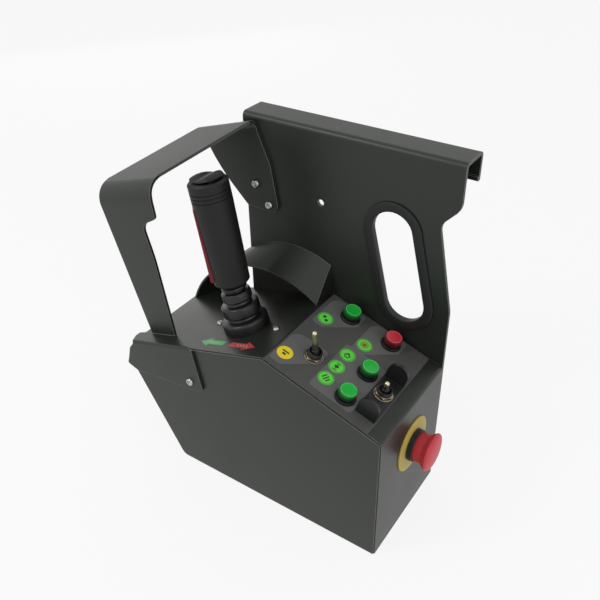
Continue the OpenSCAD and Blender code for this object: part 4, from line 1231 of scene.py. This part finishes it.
@dataclass
class Joystick:
    """The joystick: its boot, grip, cap, rocker, trigger and the works under the panel."""

    patterns: Patterns
    boot_r: float = 24.5
    neck_r: float = 6.0
    mouth_r: float = 19.0
    boot_t: float = 2.0
    bend_low: float = 6.0
    bend_clear: float = 3.0
    screw_x: float = 39.3
    pivot_n: float = 14.0
    coil_y: float = 17.0
    coil: Tuple[Tuple[str, float], ...] = (("Turns", 4.0), ("Radius", 6.0), ("Wire", 0.8), ("Length", 7.0))
    pleats: Tuple[Spot, ...] = (
        (1.0, 0.0, 0.0), (1.01, 0.24, 3.2), (0.71, 0.275, 0.9), (0.69, 0.325, 0.8), (0.82, 0.365, 1.4),
        (0.82, 0.595, 2.6), (0.56, 0.615, 0.8), (0.53, 0.665, 0.8), (0.64, 0.7, 1.2), (0.63, 0.88, 2.0),
        (0.45, 0.9, 0.5), (0.45, 0.93, 0.5), (0.55, 0.95, 0.6), (0.54, 1.0, 0.5),
    )

    def build(self) -> None:
        """Makes every piece of the joystick."""
        self.boot()
        dress(Finishes.GRIP, "joystick_grip", "grip_cap")
        pad = ThumbPad().form().data("thumb_pad", Place.GRIP.value, crease=50)
        hand_over(pad, [Finishes.GRIP], "thumb_rocker", "rocker")
        dress(Finishes.TRIGGER, "enable_trigger")
        dress(Finishes.BLACK, "joystick_flange", "angle_sensor")
        dress(Finishes.STEEL, "joystick_pivot_pin", "joystick_shaft", "rocker_pin", "trigger_pin")
        self.flange_screws()
        self.springs()

    def boot(self) -> None:
        """Sweeps the pleated section of the boot round the lever.

        Each pleat point is a share of the radius, a share of the height and a corner radius.
        """
        top = BOX.boot_h
        folds = [(r * self.boot_r, z * top) for r, z, _ in self.pleats]
        corners = [radius for _, _, radius in self.pleats]
        neck = [(self.neck_r, top), (self.neck_r, top - self.boot_t)]
        outer = soften(folds + neck, corners + [0, 0], steps=5)
        inner = [(self.mouth_r, self.boot_t), (self.mouth_r, 0.0)]
        form = Form().turned(outer + inner, steps=96, loop=True)
        made = stand(form.data("bellows_boot", Place.JOYSTICK.value, crease=50), [Finishes.BOOT])
        start = Place.JOYSTICK.point(0, 0, self.bend_low)
        end = Place.JOYSTICK.point(0, 0, top - self.bend_clear)
        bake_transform(made)
        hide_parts("joystick_boot")
        LOG.info("%s: %d faces, bends from box to joystick", made.name, len(made.data.polygons))

    def flange_screws(self) -> None:
        """Sets out the two domed screws beside the boot."""
        self.patterns.repeat(
            "flange_button_screws", Form().turned(Screws.BUTTON.value.rings(), steps=48),
            [(-self.screw_x, 0, 0), (self.screw_x, 0, 0)], Place.JOYSTICK.value, Finishes.STEEL, "steel",
            "joystick_screws", (12, 47),
        )

    def springs(self) -> None:
        """Winds the two centring springs round the pivot."""
        sizes = dict(self.coil)
        points = [(0, self.pivot_n, -self.coil_y), (0, self.pivot_n, self.coil_y - sizes["Length"])]
        across = Place.JOYSTICK.value @ turn(-90, "X")
        mesh = self.patterns.wound.grow("centring_coils", places(points), Finishes.STEEL, sizes, across)
        hand_over(mesh, (), "centring_springs")


@dataclass(frozen=True)
class Button:
    """A push button: its name, its body in the frame, its place on the panel, its finish and its slot."""

    name: str
    body: str
    s: float
    y: float
    finish: Finishes
    slot: str = "green_plastic"


@dataclass(frozen=True)
class Toggle:
    """A toggle switch: its name, its place on the panel, the height of its seat, and its lever."""

    name: str
    s: float
    y: float
    seat: float
    length: float
    lean: float


@dataclass(frozen=True)
class Legend:
    """A round legend: its place, its mark as strips, and whether it has a printed rim.

    Each strip is its middle from the legend's middle, its length, its width and its angle in degrees.
    """

    s: float
    y: float
    strips: Tuple[Tuple[float, float, float, float, float], ...] = ()
    rim: bool = True


@dataclass
class SwitchPanel:
    """The printed label with its switches."""

    patterns: Patterns
    buttons: Tuple[Button, ...] = (
        Button("green_rear", "green_button_rear", 32.3, 114.1, Finishes.GREEN_CAP),
        Button("red", "red_button", 82.6, 115.3, Finishes.RED_CAP, "red_plastic"),
        Button("green_mid", "green_button_mid", 85.0, 63.0, Finishes.GREEN_CAP),
        Button("green_front", "green_button_front", 84.3, 22.4, Finishes.GREEN_CAP),
    )
    button_r: float = 9.25
    button_h: float = 12.5
    stem_r: float = 6.0
    stem_low: float = -12.0
    bush_r: float = 6.06
    toggles: Tuple[Toggle, ...] = (
        Toggle("toggle_one", 34.6, 40.5, seat=0.4, length=26.0, lean=19.0),
        Toggle("toggle_two", 109.8, 52.1, seat=1.9, length=13.0, lean=8.0),
    )
    pivot_n: float = 6.5
    nut_flats: float = 16.5
    tip_r: float = 2.64
    sleeve_share: float = 0.45
    stop: Legend = Legend(63.5, 92.6)
    legends: Tuple[Legend, ...] = (
        Legend(11.7, 23.4, ((0, 1.6, 7.6, 1.8, 0), (0, -1.8, 4.0, 2.6, 0)), rim=False),
        Legend(14.5, 92.3, ((-2.0, 1.7, 3.2, 3.2, 0), (2.0, -1.7, 3.2, 3.2, 0))),
        stop,
        Legend(58.2, 68.0, ((-1.5, 0.4, 5.4, 1.5, 50), (1.5, 0.4, 5.4, 1.5, 130), (0, -3.2, 5.0, 1.4, 0))),
        Legend(58.1, 47.2, ((0, 0, 4.2, 4.2, 45), (0, 4.4, 4.6, 1.2, 0), (0, -4.4, 4.6, 1.2, 0))),
        Legend(58.2, 27.5, ((-2.6, 1.4, 6.4, 1.4, 68), (0, 0, 7.2, 1.4, 68), (2.7, -1.2, 5.2, 1.4, 68))),
    )
    legend_top: float = 0.8
    ink: float = 0.06
    arrows: Tuple[Tuple[float, float], ...] = ((-79.2, 65.0), (-38.2, 115.0))
    arrow_y: float = 17.0
    arrow_top: float = 0.2
    bar_size: Point = (4.4, 1.0)
    bar_places: Tuple[float, ...] = (-6.0, -2.0, 2.0, 6.0)
    stop_dot_r: float = 2.3
    stop_ring_r: Point = (3.3, 4.3)
    rim_r: Point = (7.0, 7.6)
    label_t: float = 0.4
    guard_w: float = 22.0
    guard_t: float = 1.5
    guard_y: Point = (18.0, 74.0)
    guard_window: float = 6.4
    horn_y: Point = (16.0, 73.0)
    horn_t: float = 3.0
    horn_h: float = 24.0
    horn_edge: float = 1.1

    def build(self) -> None:
        """Makes the label, its marks and its switches."""
        dress(Finishes.LABEL, "switch_label")
        dress(Finishes.FIELD, "label_fields")
        dress(Finishes.YELLOW_INK, "legend_yellow")
        dress(Finishes.GREEN_INK, "legends_green", "legend_red")
        dress(Finishes.ARROW_GREEN, "arrow_left")
        dress(Finishes.ARROW_RED, "arrow_right")
        dress(Finishes.BLACK, "button_bodies", "button_nuts", "toggle_bodies")
        dress(Finishes.STEEL, "toggle_pins")
        self.marks()
        self.rims()
        self.bars()
        self.bezels()
        self.caps()
        self.toggle_washers()
        self.toggle_nuts()
        self.toggle_bells()
        self.levers()
        self.guard()

    @staticmethod
    def strip(u: float, v: float, length: float, width: float, angle: float) -> List[Point]:
        """Draws a straight strip.

        Args:
            u: First coordinate of its middle.
            v: Second coordinate of its middle.
            length: Its length.
            width: Its width.
            angle: Its direction, in degrees.

        Returns:
            Its corners.
        """
        c, s = math.cos(math.radians(angle)), math.sin(math.radians(angle))
        a, b = length / 2, width / 2
        return [(u + x * c - y * s, v + x * s + y * c) for x, y in ((-a, -b), (a, -b), (a, b), (-a, b))]

    def inked(self, low: float, inner: float, outer: float) -> List[Point]:
        """Returns the section of a printed ring that starts at a height."""
        return [(inner, low), (inner, low + self.ink), (outer, low + self.ink), (outer, low)]

    def marks(self) -> None:
        """Prints plain generic marks on the legends: strips, and a ring with a dot."""
        top = self.legend_top
        form = Form()
        for legend in self.legends:
            for u, v, *size in legend.strips:
                form.prism(self.strip(legend.s + u, legend.y + v, *size), top, top + self.ink)
        hand_over(form.data("legend_marks", Place.SWITCHES.value), [Finishes.DARK_INK])
        at = shift(self.stop.s, self.stop.y, 0)
        form = Form().turned(self.inked(top, 0, self.stop_dot_r), at, steps=32)
        form.turned(self.inked(top, *self.stop_ring_r), at, steps=40, loop=True)
        hand_over(form.data("stop_mark", Place.SWITCHES.value), [Finishes.BROWN_INK])

    def rims(self) -> None:
        """Prints a rim round each green legend."""
        self.patterns.repeat(
            "legend_rims", Form().turned(self.inked(0, *self.rim_r), steps=56, loop=True),
            [(legend.s, legend.y, self.legend_top) for legend in self.legends if legend.rim],
            Place.SWITCHES.value, Finishes.RIM_INK, "print_green",
        )

    def bars(self) -> None:
        """Prints four slanted bars on each arrow."""
        form = Form()
        for s, angle in self.arrows:
            for u in self.bar_places:
                bar = self.strip(s + u, self.arrow_y, *self.bar_size, angle)
                form.prism(bar, self.arrow_top, self.arrow_top + self.ink)
        hand_over(form.data("arrow_marks", Place.JOY_PANEL.value), [Finishes.PALE_INK])

    def bezels(self) -> None:
        """Sets out the black rings in which the buttons slide."""
        bore, low = self.bush_r, self.stem_low
        rings = [
            (bore, 1.2), (9.65, 1.2), (9.65, 3.1), (9.72, 3.4), (9.85, 3.5), (10.0, 3.3), (10.25, 1.6),
            (10.5, 1.0), (10.5, 0), (8, 0), (8, low), (bore, low),
        ]
        self.patterns.repeat(
            "button_rings", Form().turned(rings, loop=True), [(b.s, b.y, 0) for b in self.buttons],
            Place.SWITCHES.value, Finishes.BLACK, "black_plastic", "button_bezels",
        )

    def caps(self) -> None:
        """Makes the four clear caps, each with a raised rim round its face."""
        r, h, stem, foot = self.button_r, self.button_h, self.stem_r, 4.6
        insets = (
            (2.1, 0.3), (1.9, 0.25), (1.75, 0), (1.3, 0), (1.1, 0.2), (1.05, 0.75), (0.5, 0.85),
            (0.2, 1.05), (0.05, 1.5), (0, 2.2),
        )
        rings = [(0, h - 0.3), *((r - u, h - v) for u, v in insets), (r, foot + 0.3), (r - 0.3, foot)]
        rings += [(stem, foot), (stem, self.stem_low), (0, self.stem_low)]
        for button in self.buttons:
            form = Form().turned(rings, steps=72)
            mesh = form.data("cap_" + button.name, Place.SWITCHES.at(button.s, button.y), crease=28)
            hand_over(mesh, [button.finish], "button_" + button.name, button.body)

    def seats(self) -> List[Spot]:
        """Returns where the toggles' washers lie."""
        return [(toggle.s, toggle.y, toggle.seat) for toggle in self.toggles]

    def toggle_washers(self) -> None:
        """Sets out the toothed washers of the toggles."""
        rings = [(6.1, 0.0), (6.1, 0.9), (6.5, 1.0), (9.6, 1.0), (10, 0.8), (10, 0)]
        tooth = [(6.4, -0.28), (8.9, -0.22), (8.9, 0.22), (6.4, 0.28)]
        teeth = 24
        form = Form().turned(rings, steps=72, loop=True)
        for k in range(teeth):
            form.prism(tooth, 0.8, 1.0, turn(360 * k / teeth, "Z"))
        self.patterns.repeat(
            "toggle_tooth_washers", form, self.seats(), Place.SWITCHES.value, Finishes.NICKEL, "nickel",
            "toggle_washers", (0, 9),
        )

    def toggle_nuts(self) -> None:
        """Sets out the hexagon nuts of the toggles."""
        sides = ((8.25, 3.72), (8.6, 3.55), (9.0, 3.3), (9.55, 2.85), (9.55, 1.3), (9.1, 1.0))
        rings = [(6.1, 1.0), (6.1, 3.6), (6.5, 3.8), (7.9, 3.8), *flatted(self.nut_flats, *sides)]
        self.patterns.repeat(
            "toggle_hex_nuts", Form().turned(rings, steps=96, loop=True), self.seats(),
            Place.SWITCHES.value, Finishes.NICKEL, "nickel", "toggle_nuts", (20, 52),
        )

    def toggle_bells(self) -> None:
        """Makes the rubber bells of the toggles, whose tops stand at one height."""
        form = Form()
        for toggle in self.toggles:
            foot = toggle.seat + 3.8
            outline = [
                (4.9, -2), (6.0, -2), (6.0, foot), (7.5, foot), (7.8, foot + 0.3), (7.8, foot + 0.8),
                (7.55, foot + 1.2), (7.0, 9.2), (6.7, 9.5), (6.2, 9.5), (6.0, 9.35), (4.9, 6.6),
            ]
            form.turned(outline, shift(toggle.s, toggle.y, 0), steps=56, loop=True)
        mesh = form.data("toggle_bells", Place.SWITCHES.value, crease=40)
        hand_over(mesh, [Finishes.SLEEVE], "toggle_bushings")

    def levers(self) -> None:
        """Makes each lever: a ball, a rubber sleeve and a plated rod with a round tip."""
        tip = self.tip_r
        for toggle in self.toggles:
            length = toggle.length
            cone = self.sleeve_share * (length + self.toggles[0].length) / 2
            sleeve = [
                (0, -2.2), (3.81, -2.2), (4.4, -0.4), (4.3, 1.0), (4.0, 1.8), (3.75, 2.6), (3.95, 3.1),
                (3.7, 3.8), (3.1, 4.3), (3.3, 4.9), (3.0, 5.6), (2.75, cone - 0.6), (2.5, cone), (0, cone),
            ]
            rod = [(0, cone - 1), (2.05, cone - 1), (2.15, cone + 0.5), (tip - 0.05, length - tip - 0.4)]
            angles = (0, 0.2, 0.5, 0.8, 1.1, 1.35)
            dome = [(tip * math.cos(a), length - tip + tip * math.sin(a)) for a in angles]
            at = shift(0, 0, self.pivot_n) @ turn(-toggle.lean, "Y")
            form = Form().turned(sleeve, at, steps=40)
            form.turned([*rod, *dome, (0, length)], at, steps=40, slot=1)
            mesh = form.data("lever_" + toggle.name, Place.SWITCHES.at(toggle.s, toggle.y), crease=45)
            finishes = [Finishes.SLEEVE, Finishes.LEVER]
            hand_over(mesh, finishes, toggle.name + "_lever", toggle.name)

    def guard(self) -> None:
        """Makes the second toggle's guard: the plate with its window, then the two rounded horns.

        The horns' edges are rounded last, because faces added after a rounding can change their order.
        """
        held = self.toggles[1]
        r, gap, low = self.guard_w / 2, self.guard_window, self.label_t
        outline = [(-r, 0), (r, 0), *arc(0, self.horn_h - r, r, 0, math.pi)]
        form = Form()
        front, rear = self.guard_y
        for s0, s1, y0, y1 in (
            (-r, -gap, front, rear), (gap, r, front, rear),
            (-gap, gap, front, held.y - gap), (-gap, gap, held.y + gap, rear),
        ):
            corners = [(s0, y0), (s1, y0), (s1, y1), (s0, y1)]
            form.prism([(held.s + s, y) for s, y in corners], low, low + self.guard_t)
        for y in self.horn_y:
            at = shift(held.s, y + self.horn_t, low) @ turn(90, "X")
            form.prism(outline, 0, self.horn_t, at, edge=self.horn_edge, segments=4)
        mesh = form.data("toggle_horns", Place.SWITCHES.value, crease=40)
        hand_over(mesh, [Finishes.HORN], "toggle_guard")


@dataclass
class EmergencyStop:
    """The emergency stop on the right wall."""

    disc_r: float = 30.0
    disc_t: float = 1.5
    head_r: float = 20.0
    head_h: float = 27.0
    bore_r: float = 6.06
    thread_low: float = -16.0

    def build(self) -> None:
        """Makes the disc, the collar and the mushroom head."""
        self.disc()
        self.collar()
        dress(Finishes.BLACK, "estop_nut", "estop_contact_block")
        dress(Finishes.STEEL, "estop_plunger")
        self.head()

    def disc(self) -> None:
        """Makes the yellow disc with its rounded edge."""
        r, t = self.disc_r, self.disc_t
        rings = [(11.3, 0), (11.3, t), (r - 0.5, t), (r - 0.1, t - 0.2), (r, 0.9), (r, 0)]
        mesh = Form().turned(rings, steps=96, loop=True).data("warning_disc", Place.ESTOP.value)
        hand_over(mesh, [Finishes.DISC], "estop_disc")

    def collar(self) -> None:
        """Makes the black collar that the mushroom head sinks into."""
        bore, low = self.bore_r, self.thread_low
        rings = [
            (bore, low), (bore, 2.6), (15.9, 2.6), (15.9, 7.1), (16.3, 7.5), (16.8, 7.45), (17.2, 7.0),
            (17.2, 3.2), (16.9, 2.9), (16.9, 2.3), (17.2, 2.0), (17.2, self.disc_t), (11, self.disc_t),
            (11, low),
        ]
        mesh = Form().turned(rings, steps=96, loop=True).data("stop_collar", Place.ESTOP.value)
        hand_over(mesh, [Finishes.BLACK], "estop_collar")

    def head(self) -> None:
        """Makes the mushroom head with its soft rim and shallow dished face."""
        r, h, bore = self.head_r, self.head_h, self.bore_r
        crown = (
            (0, 0.1), (5, 0.15), (9, 0.4), (12.5, 0.8), (15.5, 1.4), (17.8, 2.1), (19.2, 2.9), (19.85, 3.8),
            (r, 4.6), (19.9, 5.3), (19.5, 6.0), (18.7, 7.0), (17.8, 8.0), (17.1, 8.9), (16.7, 9.7),
            (16.5, 10.1), (15.9, 10.3), (15.9, 10.9), (15.5, 11.2),
        )
        hollow = [
            (15.5, 7.4), (15.3, 7.1), (12.6, 7.0), (12.4, 7.2), (12.4, 12.96), (bore, 12.96), (bore, 19.4),
            (0, 19.4),
        ]
        rings = [(x, h - drop) for x, drop in crown] + hollow
        mesh = Form().turned(rings, steps=96).data("mushroom_head", Place.ESTOP.value, crease=40)
        hand_over(mesh, [Finishes.HEAD], "estop_head", "estop_head_body")


@dataclass
class Electronics:
    """The board with its parts, and the gland where the cable would enter."""

    patterns: Patterns
    board_at: Point = (44.0, 24.0)
    board_top: float = 15.6
    chip_count: int = 6
    chip_from: Point = (20.0, 55.0)
    chip_step: Point = (14.0, 8.0)
    chip_half: Point = (3.0, 2.0)
    chip_t: float = 1.5
    chip_edge: float = 0.2
    terminal_top: float = 12.0
    terminal_count: int = 10
    terminal_from: Point = (35.0, 20.0)
    terminal_step: float = 5.5

    def build(self) -> None:
        """Dresses the inner pieces and adds the small parts on the board."""
        dress(Finishes.BOARD, "control_board")
        dress(Finishes.TERMINAL, "terminal_block")
        dress(Finishes.BLACK, "relay")
        dress(Finishes.STEEL, "board_standoffs", "board_screws")
        dress(Finishes.BLACK, "cable_gland", "gland_nut")
        self.chips()
        self.terminal_screws()

    def chips(self) -> None:
        """Sets out small chips on the board in two staggered rows."""
        x0, y0 = (self.board_at[i] + self.chip_from[i] for i in (0, 1))
        across, up = self.chip_step
        spots = [(x0 + across * k, y0 + (k % 2) * up, self.board_top) for k in range(self.chip_count)]
        a, b = self.chip_half
        outline = [(-a, -b), (a, -b), (a, b), (-a, b)]
        self.patterns.repeat(
            "board_chips", Form().prism(outline, 0, self.chip_t, edge=self.chip_edge), spots,
            Place.CORNER.value, Finishes.BLACK, "black_plastic",
            spins=[90 * (k % 2) for k in range(self.chip_count)],
        )

    def terminal_screws(self) -> None:
        """Sets out the screws on the terminal block."""
        x0, y0 = (self.board_at[i] + self.terminal_from[i] for i in (0, 1))
        top = self.board_top + self.terminal_top
        rings = [(0, 0), (2.0, 0), (2.0, 0.5), (1.7, 0.8), (0, 0.8)]
        self.patterns.repeat(
            "terminal_screws", Form().turned(rings, steps=24),
            [(x0 + self.terminal_step * k, y0, top) for k in range(self.terminal_count)],
            Place.CORNER.value, Finishes.STEEL, "steel",
        )


@dataclass
class Studio:
    """The floor, the lamps, the sky and the camera, in metres."""

    eye: Spot = (0.3327, -0.4844, 0.6448)
    right: Spot = (0.82933165, 0.55849953, -0.01694984)
    up: Spot = (-0.3093518, 0.484204, 0.8184424)
    back: Spot = (0.46530687, -0.67351672, 0.57433853)
    sensor: float = 36.0
    photo_pixels: float = 600
    focal_pixels: float = 729.953
    aim: Spot = (0.0, 0.0, 0.18)
    floor_reach: float = 30.0
    floor_drop: float = 0.0004
    floor_grey: float = 0.82
    floor_white_share: float = 0.86
    sky_strength: float = 0.6
    sky_white_share: float = 0.4

    def build(self) -> None:
        """Sets up the whole studio."""
        bpy.context.scene.view_settings.view_transform = "Standard"
        self.camera()
        self.floor()
        self.sky()
        self.lamp("key", (-1.4, 1.2, 0.35), (1.0, 0.4), 1.6)
        self.lamp("side", (1.5, -0.7, 0.9), (1.2, 1.2), 5.0)
        self.lamp("edge", (-0.72, -0.95, 1.3), (0.3, 0.3), 6.0)

    @staticmethod
    def put(data: Union[bpy.types.Camera, bpy.types.Light]) -> bpy.types.Object:
        """Puts a camera or a lamp into the scene.

        Args:
            data: The camera or the lamp.

        Returns:
            The object that carries it.
        """
        made = bpy.data.objects.new(data.name, data)
        bpy.context.scene.collection.objects.link(made)
        return made

    def camera(self) -> None:
        """Stands the camera where the photograph was taken."""
        data = bpy.data.cameras.new("camera")
        data.sensor_width = self.sensor
        data.lens = self.focal_pixels / self.photo_pixels * self.sensor
        data.clip_start = 0.01
        made = self.put(data)
        turned = Matrix((self.right, self.up, self.back)).transposed().to_4x4()
        made.matrix_world = Matrix.Translation(self.eye) @ turned
        bpy.context.scene.camera = made

    def lamp(self, name: str, where: Spot, size: Point, power: float) -> None:
        """Hangs a soft box that faces the object.

        Args:
            name: Its name.
            where: Its place.
            size: Its width and height.
            power: Its power in watts.
        """
        data = bpy.data.lights.new(name, "AREA")
        data.shape = "RECTANGLE"
        data.size, data.size_y = size
        data.energy = power
        made = self.put(data)
        made.location = where
        made.rotation_mode = "QUATERNION"
        made.rotation_quaternion = (Vector(self.aim) - Vector(where)).to_track_quat("-Z", "Y")

    @staticmethod
    def seen(tree: Tree) -> Signal:
        """Finds the rays that show the surroundings.

        Args:
            tree: The tree that asks.

        Returns:
            1 for rays from the camera, from a reflection or through glass.
        """
        rays = tree.add("ShaderNodeLightPath").outputs
        kinds = ("Is Camera Ray", "Is Glossy Ray", "Is Transmission Ray")
        camera, gloss, glass = (Signal(tree, rays[kind]) for kind in kinds)
        return camera.highest(gloss).highest(glass)

    def floor(self) -> None:
        """Lays a plain pale floor that keeps the shadow."""
        reach, level = self.floor_reach, -self.floor_drop
        mesh = bpy.data.meshes.new("floor")
        square = ((-reach, -reach), (reach, -reach), (reach, reach), (-reach, reach))
        mesh.from_pydata([(x, y, level) for x, y in square], [], [(0, 1, 2, 3)])
        material = bpy.data.materials.new("floor_paper")
        tree = own_tree(material)
        share = self.seen(tree) * self.floor_white_share
        paper = tree.add("ShaderNodeBsdfDiffuse", None, {"Color": (*[self.floor_grey] * 3, 1.0)})
        light = tree.add("ShaderNodeEmission", None, {"Color": WHITE, "Strength": 1.0})
        mixed = tree.add("ShaderNodeMixShader", None, {0: share, 1: paper.outputs[0], 2: light.outputs[0]})
        tree.add("ShaderNodeOutputMaterial", None, {"Surface": mixed.outputs[0]})
        mesh.materials.append(material)
        stand(mesh)

    def sky(self) -> None:
        """Fills the room with even light; the camera and the gloss see it white."""
        world = bpy.data.worlds.new("room")
        bpy.context.scene.world = world
        tree = own_tree(world)
        strength = self.sky_strength + self.seen(tree) * self.sky_white_share
        sky = tree.add("ShaderNodeBackground", None, {"Color": WHITE, "Strength": strength})
        tree.add("ShaderNodeOutputWorld", None, {"Surface": sky.outputs[0]})


def main() -> None:
    """Builds the studio and every sub-assembly in order."""
    logging.basicConfig(level=logging.INFO, format="%(name)s %(message)s")
    Studio().build()
    patterns = Patterns()
    assemblies = (
        Housing(patterns), Joystick(patterns), SwitchPanel(patterns), EmergencyStop(), Electronics(patterns),
    )
    for assembly in assemblies:
        LOG.info("building %s", type(assembly).__name__)
        assembly.build()


if __name__ == "__main__":
    main()
